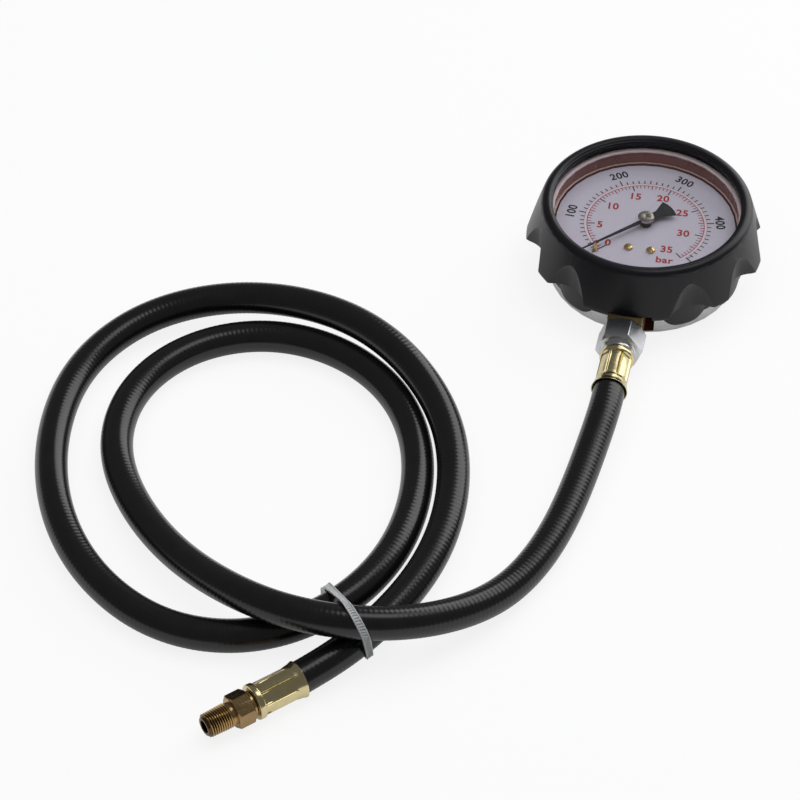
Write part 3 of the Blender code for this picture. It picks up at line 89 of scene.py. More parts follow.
HOSE_ROUTE = [
    (0.0000, -0.0825, 0.0115), (0.0000, -0.0920, 0.0114), (-0.0012, -0.1105, 0.0098),
    (-0.0040, -0.1375, 0.0077), (-0.0095, -0.1675, 0.0068), (-0.0210, -0.1958, 0.0082),
    (-0.0394, -0.2179, 0.0142), (-0.0638, -0.2324, 0.0208), (-0.0935, -0.2344, 0.0222),
    (-0.1226, -0.2225, 0.0172), (-0.1478, -0.2035, 0.0110), (-0.1692, -0.1800, 0.0077),
    (-0.1839, -0.1515, 0.0068), (-0.1844, -0.1204, 0.0068), (-0.1689, -0.0938, 0.0068),
    (-0.1417, -0.0800, 0.0068), (-0.1106, -0.0831, 0.0068), (-0.0845, -0.1011, 0.0068),
    (-0.0688, -0.1290, 0.0068), (-0.0637, -0.1607, 0.0074), (-0.0680, -0.1920, 0.0084),
    (-0.0832, -0.2190, 0.0085), (-0.1091, -0.2361, 0.0073), (-0.1394, -0.2379, 0.0068),
    (-0.1674, -0.2248, 0.0068), (-0.1892, -0.2022, 0.0068), (-0.2038, -0.1737, 0.0068),
    (-0.2106, -0.1420, 0.0068), (-0.2081, -0.1106, 0.0070), (-0.1921, -0.0841, 0.0092),
    (-0.1646, -0.0690, 0.0125), (-0.1332, -0.0672, 0.0160), (-0.1023, -0.0758, 0.0170),
    (-0.0765, -0.0947, 0.0155), (-0.0578, -0.1215, 0.0125), (-0.0498, -0.1522, 0.0100),
    (-0.0507, -0.1836, 0.0089), (-0.0600, -0.2137, 0.0085), (-0.0757, -0.2406, 0.0082),
    (-0.0886, -0.2556, 0.0075),
]


# Materials

def add_node(tree, kind, inputs=None, **settings):
    """A shader node. Each of its inputs is a plain value or another node's output."""
    node = tree.nodes.new(kind)
    for key, value in settings.items():
        setattr(node, key, value)
    for key, value in (inputs or {}).items():
        if isinstance(value, bpy.types.NodeSocket):
            tree.links.new(value, node.inputs[key])
        else:
            node.inputs[key].default_value = value
    return node


def calculate(tree, operation, first, second):
    """The output of a maths node."""
    return add_node(tree, "ShaderNodeMath", {0: first, 1: second}, operation=operation).outputs[0]


class Paint:
    """A Principled material with small helpers for its procedural nodes."""

    def __init__(self, name, colour, roughness, metallic=0.0, specular=0.5, alpha=1.0):
        self.material = bpy.data.materials.new(name)
        self.material.use_nodes = True
        self.tree = self.material.node_tree
        self.inputs = self.tree.nodes["Principled BSDF"].inputs
        self.inputs["Base Color"].default_value = (*colour, 1.0)
        self.inputs["Roughness"].default_value = roughness
        self.inputs["Metallic"].default_value = metallic
        self.inputs["Specular IOR Level"].default_value = specular
        self.inputs["Alpha"].default_value = alpha
        self.colour = colour
        self.roughness = roughness
        self.place = self.add("ShaderNodeTexCoord").outputs["Object"]

    def add(self, kind, inputs=None, **settings):
        return add_node(self.tree, kind, inputs, **settings)

    def calculate(self, operation, first, second):
        return calculate(self.tree, operation, first, second)

    def feed(self, name, source):
        """Links a node's output to one of the shader's inputs."""
        self.tree.links.new(source, self.inputs[name])

    def noise(self, scale, detail=3.0, stretch=None):
        place = self.place
        if stretch:
            mapping = self.add("ShaderNodeMapping", {"Scale": stretch, "Vector": place})
            place = mapping.outputs["Vector"]
        node = self.add("ShaderNodeTexNoise", {"Scale": scale, "Detail": detail, "Vector": place})
        return node.outputs["Fac"]

    def ramp(self, source, *stops):
        """Blends colours between two or more stops, each a position and a colour."""
        node = self.add("ShaderNodeValToRGB", {"Fac": source})
        elements = node.color_ramp.elements
        for i, (position, colour) in enumerate(stops):
            element = elements[i] if i < 2 else elements.new(position)
            element.position = position
            element.color = (*colour, 1.0)
        return node.outputs["Color"]

    def shades(self, source, low, high):
        """Two shades, spread over the middle part of a noise, where most of its values are."""
        return self.ramp(source, (0.3, low), (0.7, high))

    def spread(self, source, low, high):
        limits = {"Value": source, "To Min": low, "To Max": high}
        return self.add("ShaderNodeMapRange", limits).outputs["Result"]

    def mix(self, share, first, second, **settings):
        colours = {"Factor": share, "A": first, "B": second}
        node = self.add("ShaderNodeMix", colours, data_type="RGBA", **settings)
        return node.outputs["Result"]

    def vary_colour(self, scale, amount):
        low = tuple(c * (1 - amount) for c in self.colour)
        high = tuple(min(1.0, c * (1 + amount)) for c in self.colour)
        self.feed("Base Color", self.shades(self.noise(scale), low, high))
        return self

    def vary_roughness(self, scale, amount):
        low, high = self.roughness - amount, self.roughness + amount
        self.feed("Roughness", self.spread(self.noise(scale), low, high))
        return self

    def bump(self, scale, height, detail=3.0, stretch=None):
        relief = {"Strength": 1.0, "Distance": height, "Height": self.noise(scale, detail, stretch)}
        self.feed("Normal", self.add("ShaderNodeBump", relief).outputs["Normal"])
        return self


def metal(look, colour, roughness, grain=(900, 0.000003), stretch=None):
    paint = Paint(look + "_look", colour, roughness, 1.0)
    paint.vary_colour(260, 0.05).vary_roughness(500, 0.05)
    return paint.bump(*grain, 2.0, stretch).material


LACQUER_RADIUS = 0.0389     # the case's lacquer starts inside this radius
LEDGE_HEIGHT = 0.0248       # what faces up inside the case over this height is the ledge
FACES_DOWN, FACES_UP = -0.3, 0.7        # limits of a normal's upward part


def case_material():
    """Brushed steel outside and dark red lacquer inside, told apart by radius and facing.

    The up-facing ledge just over the dial is painted a light colour, a painted highlight where
    light catches it, and shows as a thin light line.
    """
    case = Paint("case_look", (0.74, 0.74, 0.75), 0.26, 1.0)
    case.vary_roughness(300, 0.05).bump(700, 0.000008, 2.0, (1.0, 1.0, 9.0))
    place = case.add("ShaderNodeSeparateXYZ", {0: case.place}).outputs
    flat = case.add("ShaderNodeCombineXYZ", {"X": place["X"], "Y": place["Y"]}).outputs[0]
    radius = case.add("ShaderNodeVectorMath", {0: flat}, operation="LENGTH").outputs["Value"]
    facing = case.add("ShaderNodeNewGeometry").outputs["True Normal"]
    upward = case.add("ShaderNodeSeparateXYZ", {0: facing}).outputs["Z"]
    inner = case.calculate("LESS_THAN", radius, LACQUER_RADIUS)
    beside = case.calculate("GREATER_THAN", upward, FACES_DOWN)
    inside = case.calculate("MULTIPLY", inner, beside)
    high = case.calculate("GREATER_THAN", place["Z"], LEDGE_HEIGHT)
    level = case.calculate("GREATER_THAN", upward, FACES_UP)
    # Painted highlight: the up-facing ledge high inside the case is painted a light colour, as if
    # lit
    ledge_highlight = case.calculate("MULTIPLY", case.calculate("MULTIPLY", high, level), inner)
    grain = case.noise(220, 4.0, (1.0, 1.0, 6.0))
    steel = case.shades(grain, (0.56, 0.56, 0.57), (0.70, 0.70, 0.71))
    lacquered = case.mix(inside, steel, (0.22, 0.066, 0.052, 1.0))
    case.feed("Base Color", case.mix(ledge_highlight, lacquered, (0.62, 0.47, 0.46, 1.0)))
    case.feed("Metallic", case.spread(inside, 1.0, 0.1))
    return case.material


THREAD_LIGHT_REACH = 0.0007         # the painted groove shade and crest highlight change over this much in and out of the thread


def fitting_material():
    """Aged brass, with painted shade darkening the thread's grooves, crests golden partly from the
    brass's own colour and partly from a painted highlight, and brown on the hexagon.
    """
    paint = Paint("fitting_look", (0.44, 0.30, 0.14), 0.25, 1.0)
    paint.vary_roughness(500, 0.05).bump(700, 0.000006, 2.0)

    def vector(operation, *inputs):
        return paint.add("ShaderNodeVectorMath", dict(enumerate(inputs)), operation=operation)

    from_mouth = vector("SUBTRACT", paint.place, FAR_MOUTH).outputs[0]
    across = vector("CROSS_PRODUCT", from_mouth, FAR_DIRECTION).outputs[0]
    share = paint.add("ShaderNodeMapRange", {"Value": vector("LENGTH", across).outputs["Value"],
                                             "From Min": THREAD_RADIUS - THREAD_LIGHT_REACH,
                                             "From Max": THREAD_RADIUS + THREAD_LIGHT_REACH})
    # Painted shade in the thread's grooves and a painted highlight on its crests, set by distance
    # from the fitting's axis
    painted_thread_light = paint.ramp(share.outputs["Result"], (0.08, (0.13, 0.075, 0.03)),
                      (0.40, (0.66, 0.46, 0.21)), (0.56, (0.58, 0.40, 0.18)),
                      (0.85, (0.37, 0.25, 0.12)))
    mottle = paint.shades(paint.noise(260), (0.88, 0.86, 0.82), (1.0, 1.0, 1.0))
    paint.feed("Base Color", paint.mix(1.0, painted_thread_light, mottle, blend_type="MULTIPLY"))
    return paint.material


def make_materials():
    rubber = Paint("boot_rubber_look", (0.004, 0.004, 0.006), 0.34, specular=0.40)
    rubber.vary_colour(90, 0.10).vary_roughness(400, 0.04).bump(2600, 0.000006, 2.0)
    hose = Paint("hose_rubber_look", (0.005, 0.005, 0.0055), 0.23)
    hose.vary_colour(160, 0.15).vary_roughness(700, 0.04).bump(1500, 0.000006)
    lens = Paint("lens_look", (0.10, 0.10, 0.10), 0.04, alpha=0.07)
    lens.vary_roughness(200, 0.01)
    gasket = Paint("gasket_look", (0.80, 0.66, 0.68), 0.5)
    gasket.vary_colour(500, 0.05).bump(900, 0.00001)
    dial = Paint("dial_look", (0.50, 0.475, 0.565), 0.42, specular=0.3)
    dial.vary_colour(120, 0.012).vary_roughness(500, 0.04).bump(1500, 0.000004)
    black = Paint("pointer_look", (0.012, 0.012, 0.015), 0.4, specular=0.3)
    black.vary_roughness(900, 0.05).bump(2500, 0.000006)
    nylon = Paint("nylon_look", (0.43, 0.445, 0.45), 0.35)
    nylon.vary_colour(300, 0.04).bump(1500, 0.00001)
    made = {
        "boot": rubber.material, "hose": hose.material, "lens": lens.material,
        "gasket": gasket.material, "dial": dial.material, "black": black.material,
        "nylon": nylon.material, "case": case_material(), "fitting": fitting_material(),
        "ferrule": metal("ferrule", (0.72, 0.62, 0.35), 0.20, (600, 0.000005)),
        "zinc": metal("zinc", (0.66, 0.67, 0.70), 0.24, (700, 0.000003), (1.0, 0.3, 1.0)),
    }
    for look, colour, roughness in (("bezel", (0.03, 0.03, 0.032), 0.32),
                                    ("brass", (0.80, 0.60, 0.28), 0.30),
                                    ("bronze", (0.62, 0.42, 0.24), 0.32),
                                    ("steel", (0.66, 0.66, 0.68), 0.26),
                                    ("silver", (0.46, 0.43, 0.38), 0.28)):
        made[look] = metal(look, colour, roughness)
    for look, colour in (("ink_black", (0.015, 0.017, 0.028)), ("ink_red", (0.33, 0.020, 0.018)),
                         ("ink_pink", (0.50, 0.25, 0.27)), ("ink_pale", (0.58, 0.53, 0.60))):
        made[look] = Paint(look, colour, 0.5, specular=0.3).vary_colour(900, 0.06).material
    return made


LOOKS = {
    "boot": ["rubber_boot"],
    "case": ["gauge_case"],
    "bezel": ["bezel_ring"],
    "lens": ["lens"],
    "gasket": ["lens_gasket"],
    "dial": ["dial_plate"],
    "black": ["pointer"],
    "silver": ["pointer_hub"],
    "brass": ["dial_screw_left", "dial_screw_right", "dial_post_left", "dial_post_right",
              "stop_pin", "sector_gear", "lower_plate", "upper_plate", "pillar_left",
              "pillar_right", "tube_tip", "socket_block", "hose_tail"],
    "bronze": ["hairspring", "bourdon_tube"],
    "steel": ["pinion_shaft", "sector_arbor", "link", "link_pin"],
    "zinc": ["plate_screw_left", "plate_screw_right", "case_screw_left", "case_screw_right",
             "hose_nut"],
    "ferrule": ["near_ferrule", "far_ferrule"],
    "fitting": ["far_fitting"],
    "hose": ["hose"],
    "nylon": ["zip_tie"],
}
MATERIALS = make_materials()


def paint_nodes():
    """Gives each CAD node its look."""
    for look, names in LOOKS.items():
        for name in names:
            slots = NODES[name].material_slots
            if not slots:
                NODES[name].data.materials.append(MATERIALS[look])
            for material_slot in slots:
                material_slot.material = MATERIALS[look]


# Geometry helpers

CUT_SHARP = 34              # degrees past which a cut piece's faces meet in a crease


def new_object(name, bm):
    mesh = bpy.data.meshes.new(name)
    bm.to_mesh(mesh)
    bm.free()
    thing = bpy.data.objects.new(name, mesh)
    bpy.context.collection.objects.link(thing)
    return thing


def add_piece(name, bm, look, body="gauge"):
    """A piece that rides on a body, with one of the looks as its material."""
    piece = new_object(name, bm)
    piece.data.materials.append(MATERIALS[look])
    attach(piece, body)
    return piece


def add_surface(name, bm, look, sharp, node, body="gauge", matrix=None):
    """A smooth piece in a CAD node's place, with creases where faces turn by over sharp degrees."""
    bmesh.ops.recalc_face_normals(bm, faces=bm.faces)
    if matrix:
        bmesh.ops.transform(bm, matrix=matrix, verts=bm.verts)
    piece = add_piece(name, bm, look, body)
    piece.data.shade_smooth()
    piece.data.set_sharp_from_angle(angle=math.radians(sharp))
    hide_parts(node)
    return piece


def evaluated_mesh(thing):
    """A new mesh of an object as its modifiers leave it, or of a text."""
    bpy.context.view_layer.update()
    graph = bpy.context.evaluated_depsgraph_get()
    return bpy.data.meshes.new_from_object(thing.evaluated_get(graph))


def cut_with(piece, box):
    """Cuts a box, given by its matrix, out of a piece."""
    bm = bmesh.new()
    bmesh.ops.create_cube(bm, size=1.0, matrix=box)
    cutter = new_object("cutter", bm)
    modifier = piece.modifiers.new("Cut", "BOOLEAN")
    modifier.object = cutter
    modifier.operation = "DIFFERENCE"
    modifier.solver = "EXACT"
    cut = evaluated_mesh(piece)
    piece.modifiers.clear()
    piece.data = cut
    cut.set_sharp_from_angle(angle=math.radians(CUT_SHARP))
    bpy.data.objects.remove(cutter)


def skinned(loops, ring=False):
    """Bridges loops of equal length. A ring joins the last to the first, else both are capped."""
    bm = bmesh.new()
    rows = [[bm.verts.new(point) for point in loop] for loop in loops]
    pairs = list(zip(rows, rows[1:]))
    if ring:
        pairs.append((rows[-1], rows[0]))
    else:
        bm.faces.new(rows[0])
        bm.faces.new(rows[-1])
    for first, second in pairs:
        for i in range(len(first)):
            bm.faces.new((first[i - 1], first[i], second[i], second[i - 1]))
    return bm


def lathe_loop(angles, radius_at, height_at):
    """One loop round Z. Radius and height are numbers or functions of the angle."""
    loop = []
    for angle in angles:
        radius = radius_at(angle) if callable(radius_at) else radius_at
        height = height_at(angle) if callable(height_at) else height_at
        loop.append((radius * math.cos(angle), radius * math.sin(angle), height))
    return loop


def lathe_rows(angles, profile):
    """A round loop for each radius and height of a profile."""
    return [lathe_loop(angles, radius, height) for radius, height in profile]


def even_angles(count):
    return [math.tau * k / count for k in range(count)]


def placed(place, turn):
    return Matrix.Translation(place) @ Euler(turn).to_matrix().to_4x4()


def smooth_step(low, high, value):
    share = min(1.0, max(0.0, (value - low) / (high - low)))
    return share * share * (3 - 2 * share)


def natural_spline(points, samples):
    """Smooth curve through the points, sampled at even steps of its chord length."""
    lengths = [0.0]
    for a, b in zip(points, points[1:]):
        lengths.append(lengths[-1] + (b - a).length)
    count = len(points)
    bends = [Vector((0, 0, 0)) for _ in points]
    upper = [0.0] * count
    for i in range(1, count - 1):
        before, after = lengths[i] - lengths[i - 1], lengths[i + 1] - lengths[i]
        rise = (points[i + 1] - points[i]) / after - (points[i] - points[i - 1]) / before
        pivot = 2 * (before + after) - before * upper[i - 1]
        upper[i] = after / pivot
        bends[i] = (6 * rise - before * bends[i - 1]) / pivot
    for i in range(count - 2, 0, -1):
        bends[i] = bends[i] - upper[i] * bends[i + 1]
    curve = []
    span = 0
    for k in range(samples):
        at = lengths[-1] * k / (samples - 1)
        while span < count - 2 and at > lengths[span + 1]:
            span += 1
        width = lengths[span + 1] - lengths[span]
        a, b = (lengths[span + 1] - at) / width, (at - lengths[span]) / width
        bend = (a ** 3 - a) * bends[span] + (b ** 3 - b) * bends[span + 1]
        curve.append(a * points[span] + b * points[span + 1] + bend * width ** 2 / 6)
    return curve


# Nut, ferrules and far fitting, built along +Z from their first face and then laid in place

NEAR_TURN = (math.pi / 2, 0, 0)
FITTING_BORE = 0.0040       # through the collar and the ferrules
HALF_CRIMP = 180 / CRIMP_FLATS
CRIMP_EDGE = 17.2           # degrees from a flat's middle to where its ridge starts
CRIMP_CREST = 20.2          # and to the crest of the ridge
CRIMP_VALLEY = 0.0006       # depth of the valley between two ridges
CRIMP_COLUMNS = (-HALF_CRIMP, -21.0, -19.6, -18.4, -CRIMP_EDGE, -13, -8, -3,
                 3, 8, 13, CRIMP_EDGE, 18.4, 19.6, 21.0)
# Height of a crimped row, and how much lower its flats and ridges are than in the middle
CRIMP_ROWS = ((0.0028, -0.0001, 0.00005), (0.0030, 0.0003, 0), (0.0040, 0.00022, 0),
              (0.0060, 0.00005, 0), (0.0100, 0, 0), (0.0140, 0, 0), (0.0152, 0.00002, 0))
# Height of a row where the crimps run out, how round it is, and its radius when round
CRIMP_END_ROWS = ((0.0158, 0.3, 0.00645), (0.0163, 0.75, 0.00652), (0.0168, 1.0, 0.0066))


def crimp_radius(angle, flat_dip=0.0, ridge_dip=0.0):
    """Nearly flat in the middle, with a narrow twin ridge where two flats meet."""
    flat, ridge = FERRULE_FLAT - flat_dip, FERRULE_RIDGE - ridge_dip
    pitch = math.tau / CRIMP_FLATS
    off = math.degrees(abs((angle + pitch / 2) % pitch - pitch / 2))

    def flat_at(degrees):
        return flat / math.cos(math.radians(degrees * 0.75))

    if off <= CRIMP_EDGE:
        return flat_at(off)
    edge = flat_at(CRIMP_EDGE)
    if off <= CRIMP_CREST:
        return edge + (ridge - edge) * smooth_step(CRIMP_EDGE, CRIMP_CREST - 0.6, off)
    return ridge - CRIMP_VALLEY * smooth_step(CRIMP_CREST, HALF_CRIMP, off)


def make_ferrule(name, place, turn, node):
    angles = [math.tau / CRIMP_FLATS * flat + math.radians(column)
              for flat in range(CRIMP_FLATS) for column in CRIMP_COLUMNS]
    bead, mouth, end = FERRULE_BEAD, FERRULE_MOUTH, FERRULE_LENGTH
    hose_bore = HOSE_RADIUS + 0.00012
    loops = lathe_rows(angles, (
        (FITTING_BORE, 0.0), (bead - 0.0009, 0.0), (bead - 0.0004, 0.00008),
        (bead - 0.00012, 0.0003), (bead, 0.0007), (bead, 0.0020), (bead - 0.00008, 0.0024),
        (bead - 0.0003, 0.00268)))
    for height, flat_dip, ridge_dip in CRIMP_ROWS:
        loops.append(lathe_loop(angles, lambda a: crimp_radius(a, flat_dip, ridge_dip), height))
    for height, roundness, radius in CRIMP_END_ROWS:
        loops.append(lathe_loop(
            angles, lambda a: (1 - roundness) * crimp_radius(a) + roundness * radius, height))
    loops += lathe_rows(angles, (
        (0.00668, 0.0175), (0.00678, 0.0183), (0.00692, 0.0190), (0.00710, 0.0196),
        (mouth + 0.00006, 0.0200), (mouth + 0.00008, 0.02022), (mouth - 0.00004, end),
        (0.0069, end - 0.00006), (0.0067, end - 0.0006), (hose_bore, end - 0.0016),
        (hose_bore, 0.0170), (FITTING_BORE, 0.0166)))
    return add_surface(name, skinned(loops, ring=True), "ferrule", 32, node,
                       matrix=placed(place, turn))


def hexagon_radius(flats, turn):
    def radius_at(angle):
        step = math.radians(60)
        off = (angle - turn) % step - step / 2
        return flats / 2 / math.cos(off)
    return radius_at


def hexagon_angles(turn, per_side, corner_ease):
    """Columns round a hexagon. Two stand close to each corner, corner_ease degrees apart."""
    side, ease = math.radians(60), math.radians(corner_ease) / 2
    angles = []
    for k in range(6):
        base = turn + side * k
        angles += [base - ease, base + ease]
        angles += [base + side * (i + 1) / (per_side + 1) for i in range(per_side)]
    return sorted(angle % math.tau for angle in angles)


def chamfer_loops(angles, radius_at, corner, start, end, rounding):
    """A hexagon between two chamfered ends, with the curved chamfer edges of a turned nut."""
    slope = math.tan(math.radians(30))
    lift = 0.00002

    def fall(angle):
        return max(0.0, radius_at(angle) - corner) * slope

    def rounded(angle):
        return max(corner, radius_at(angle) - rounding)

    return [lathe_loop(angles, corner, start),
            lathe_loop(angles, rounded, lambda angle: start + fall(angle) + lift),
            lathe_loop(angles, radius_at, lambda angle: start + fall(angle) + rounding),
            lathe_loop(angles, radius_at, lambda angle: end - fall(angle) - rounding),
            lathe_loop(angles, rounded, lambda angle: end - fall(angle) - lift),
            lathe_loop(angles, corner, end)]


def make_nut():
    bore, bore_end = 0.0063, 0.0100
    angles = hexagon_angles(NUT_TURN, 20, 2.0)
    end = NUT_LENGTH + COLLAR_LENGTH
    loops = [lathe_loop(angles, bore, 0.0)]
    loops += chamfer_loops(angles, hexagon_radius(NUT_FLATS, NUT_TURN), NUT_FLATS / 2 * 0.985,
                           0.0, NUT_LENGTH, 0.00012)
    loops += lathe_rows(angles, (
        (COLLAR_RADIUS + 0.0004, NUT_LENGTH + 0.00006), (COLLAR_RADIUS, NUT_LENGTH + 0.0004),
        (COLLAR_RADIUS, end - 0.0005), (COLLAR_RADIUS - 0.00015, end - 0.00015),
        (COLLAR_RADIUS - 0.0005, end), (FITTING_BORE, end), (FITTING_BORE, bore_end),
        (bore, bore_end)))
    add_surface("nut_surface", skinned(loops, ring=True), "zinc", 24, "hose_nut",
                matrix=placed((0, -NUT_START, STEM_HEIGHT), NEAR_TURN))


THREAD_PITCH = 0.00092
THREAD_DEPTH = 0.00052
THREAD_FADE = 0.0008        # length over which the thread runs out
THREAD_NECK = 0.0012        # plain length between the hexagon and the thread
NECK_DIP = 0.00035
THREAD_ROWS = 8             # rows of the mesh for each turn of the thread
TAPER = 1 / 32              # what a pipe thread's radius loses over its length
SHANK_RADIUS = 0.0037       # the fitting's shank reaches into the ferrule
SHANK_REACH = 0.002
FAR_HEX_TURN = math.radians(30)


def thread_loop(angles, neck, height):
    """A row of the thread, which runs out towards the neck."""
    crest = THREAD_RADIUS + 0.00008 - (height - neck) * TAPER
    fade = smooth_step(neck, neck + THREAD_FADE, height)

    def radius_at(angle):
        phase = (height / THREAD_PITCH - angle / math.tau) % 1.0
        # Straight sides between a narrow flat crest and a narrow flat root
        depth = THREAD_DEPTH * min(1.0, max(0.0, 1.18 * (1 - abs(2 * phase - 1)) - 0.09))
        return crest - NECK_DIP * (1 - fade) - depth * fade

    return lathe_loop(angles, radius_at, height)


def make_far_fitting():
    angles = hexagon_angles(FAR_HEX_TURN, 16, 2.4)
    hex_end = GROOVE_LENGTH + FAR_HEX_LENGTH
    neck, tip = hex_end + THREAD_NECK, hex_end + THREAD_LENGTH
    loops = lathe_rows(angles, (
        (THREAD_BORE, -SHANK_REACH), (SHANK_RADIUS, -SHANK_REACH), (SHANK_RADIUS, 0.0),
        (GROOVE_RADIUS, 0.0), (GROOVE_RADIUS, GROOVE_LENGTH)))
    loops += chamfer_loops(angles, hexagon_radius(FAR_HEX_FLATS, FAR_HEX_TURN), FAR_HEX_FLATS / 2,
                           GROOVE_LENGTH, hex_end, 0.0001)
    loops += lathe_rows(angles, ((THREAD_RADIUS - 0.0003, hex_end + 0.00005),
                                 (THREAD_RADIUS - NECK_DIP, neck)))
    length = tip - 0.0009 - neck
    count = round(length / THREAD_PITCH * THREAD_ROWS)
    loops += [thread_loop(angles, neck, neck + length * i / count) for i in range(count + 1)]
    last = THREAD_RADIUS - (tip - neck) * TAPER
    loops += lathe_rows(angles, (
        (last - 0.00045, tip - 0.0008), (last - 0.0010, tip - 0.00004), (last - 0.0012, tip),
        (THREAD_BORE + 0.0002, tip), (THREAD_BORE, tip - 0.0002)))
    place = FAR_MOUTH + FAR_DIRECTION * (FERRULE_LENGTH + 0.0003)
    return add_surface("fitting_surface", skinned(loops, ring=True), "fitting", 28,
                       "far_fitting",
                       matrix=placed(place, (math.pi / 2, 0, FAR_HEADING + math.pi / 2)))


# Zip tie, drawn tight round the crossing strands in a plane that leans

TIE_ALONG = (TIE_END - TIE_START).normalized()
TIE_NORMAL = Vector((-TIE_ALONG.y, TIE_ALONG.x))
TIE_TEETH = 96
TOOTH_DEPTHS = (0.0, 0.00046, 0.00040, 0.0)     # along one tooth
TOOTHED = (0.18, 0.82)      # the part of the strap's width that has teeth
STRAP_STEPS = 360
# The strap's section: the place across its width, and the height as a share of its thickness
STRAP_SECTION = ((0.0, 0.0), (0.0, 0.75), (0.05, 1.0), (0.16, 1.0), (0.20, 0.5),
                 (0.80, 0.5), (0.84, 1.0), (0.95, 1.0), (1.0, 0.75), (1.0, 0.0))


def leaned(flat):
    """Where a point of the tie's plane, or a direction in it, is as seen from above."""
    return TIE_ALONG * flat.x + TIE_NORMAL * TIE_LEAN * flat.y


def tie_crossings(line, start):
    """The hose's strands as ellipses in the tie's plane: place, height, half width and slant."""
    reach = (TIE_END - TIE_START).length

    def off_plane(point):
        return (point.xy - start).dot(TIE_NORMAL) - TIE_LEAN * point.z

    found = []
    for a, b in zip(line, line[1:]):
        before, after = off_plane(a), off_plane(b)
        if before * after > 0:
            continue
        point = a.lerp(b, before / (before - after))
        place = (point.xy - start).dot(TIE_ALONG)
        heading = (b - a).normalized()
        through, aside = heading.xy.dot(TIE_NORMAL), heading.xy.dot(TIE_ALONG)
        if -HOSE_RADIUS < place < reach + HOSE_RADIUS:
            half, slant = HOSE_RADIUS / abs(through), TIE_LEAN * aside / through
            found.append((place, point.z, half, slant))
    return found


def strap_point(crossings, angle, extra):
    """The outermost point of the strands at an angle, with extra room round them."""
    out = Vector((math.cos(angle), math.sin(angle)))
    points = []
    for place, height, half, slant in crossings:
        wide, tall = half + extra, HOSE_RADIUS + extra
        across, upward = wide * out.x, tall * (out.y + slant * out.x)
        length = math.hypot(across, upward)
        rise = tall * upward / length
        points.append(Vector((place + wide * across / length + slant * rise, height + rise)))
    return max(points, key=lambda point: point.dot(out))


def even_steps(points, count):
    """Closed polyline sampled again at even steps of its length."""
    closed = points + [points[0]]
    lengths = [0.0]
    for a, b in zip(closed, closed[1:]):
        lengths.append(lengths[-1] + (b - a).length)
    sampled, span = [], 0
    for k in range(count):
        at = lengths[-1] * k / count
        while lengths[span + 1] < at:
            span += 1
        share = (at - lengths[span]) / (lengths[span + 1] - lengths[span])
        sampled.append(closed[span].lerp(closed[span + 1], share))
    return sampled


def strap_edge(line, start, count):
    """One edge of the strap's inner face, as pairs of a point and the direction outwards."""
    crossings = tie_crossings(line, start)
    outline = [strap_point(crossings, angle, TIE_EASE) for angle in even_angles(STRAP_STEPS)]
    flats = even_steps(outline, count)
    edge = []
    for i, flat in enumerate(flats):
        heading = (flats[(i + 1) % count] - flats[i - 1]).normalized()
        outward = Vector((heading.y, -heading.x))
        edge.append((Vector((*(start + leaned(flat)), flat.y)),
                     Vector((*leaned(outward), outward.y))))
    return edge


def add_tie_head(bm, line):
    """The head, and the stub of the strap that stands out of it."""
    edge = strap_point(tie_crossings(line, TIE_START), TIE_HEAD_ANGLE, TIE_EASE + TIE_THICKNESS)
    place = (*(TIE_START + leaned(edge)), edge.y - TIE_HEAD[2] / 2)
    turn = Matrix.Rotation(math.atan2(TIE_ALONG.y, TIE_ALONG.x), 4, "Z")
    deep, wide, tall = TIE_HEAD
    head = ((-deep, -wide / 2, 0), (TIE_THICKNESS * 0.5, wide / 2, tall))
    stub = ((-deep * 0.75, -TIE_WIDTH / 2, tall / 2),
            (-deep * 0.75 + TIE_THICKNESS, TIE_WIDTH / 2, tall + TIE_STUB))
    for corners in (head, stub):
        low, high = (Vector(corner) for corner in corners)
        box = Matrix.Translation((low + high) / 2) @ Matrix.Diagonal((*(high - low), 1.0))
        made = bmesh.ops.create_cube(bm, size=1.0, matrix=Matrix.Translation(place) @ turn @ box)
        edges = {edge for vert in made["verts"] for edge in vert.link_edges}
        bmesh.ops.bevel(bm, geom=list(edges), offset=0.0004, segments=2, affect="EDGES",
                        profile=0.6)


def make_tie():
    line = natural_spline([Vector(point) for point in HOSE_ROUTE], HOSE_POINTS)
    count = TIE_TEETH * len(TOOTH_DEPTHS)
    edges = [strap_edge(line, TIE_START + TIE_NORMAL * side * TIE_WIDTH / 2, count)
             for side in (-1, 1)]
    loops = []
    for i, ((first, first_out), (second, second_out)) in enumerate(zip(*edges)):
        tooth = TOOTH_DEPTHS[i % len(TOOTH_DEPTHS)]
        loop = []
        for across, rise in STRAP_SECTION:
            recess = tooth if TOOTHED[0] < across < TOOTHED[1] else 0.0
            out = first_out.lerp(second_out, across)
            loop.append(first.lerp(second, across) + out * (TIE_THICKNESS * rise + recess))
        loops.append(loop)
    bm = skinned(loops, ring=True)
    add_tie_head(bm, line)
    return add_surface("tie_band", bm, "nylon", 40, "zip_tie")


# Hose, with a fine helical rib

RIB_PITCH = 0.0019
RIB_STEPS = 4
RIB_HEIGHT = 0.000028
HOSE_SIDES = 32


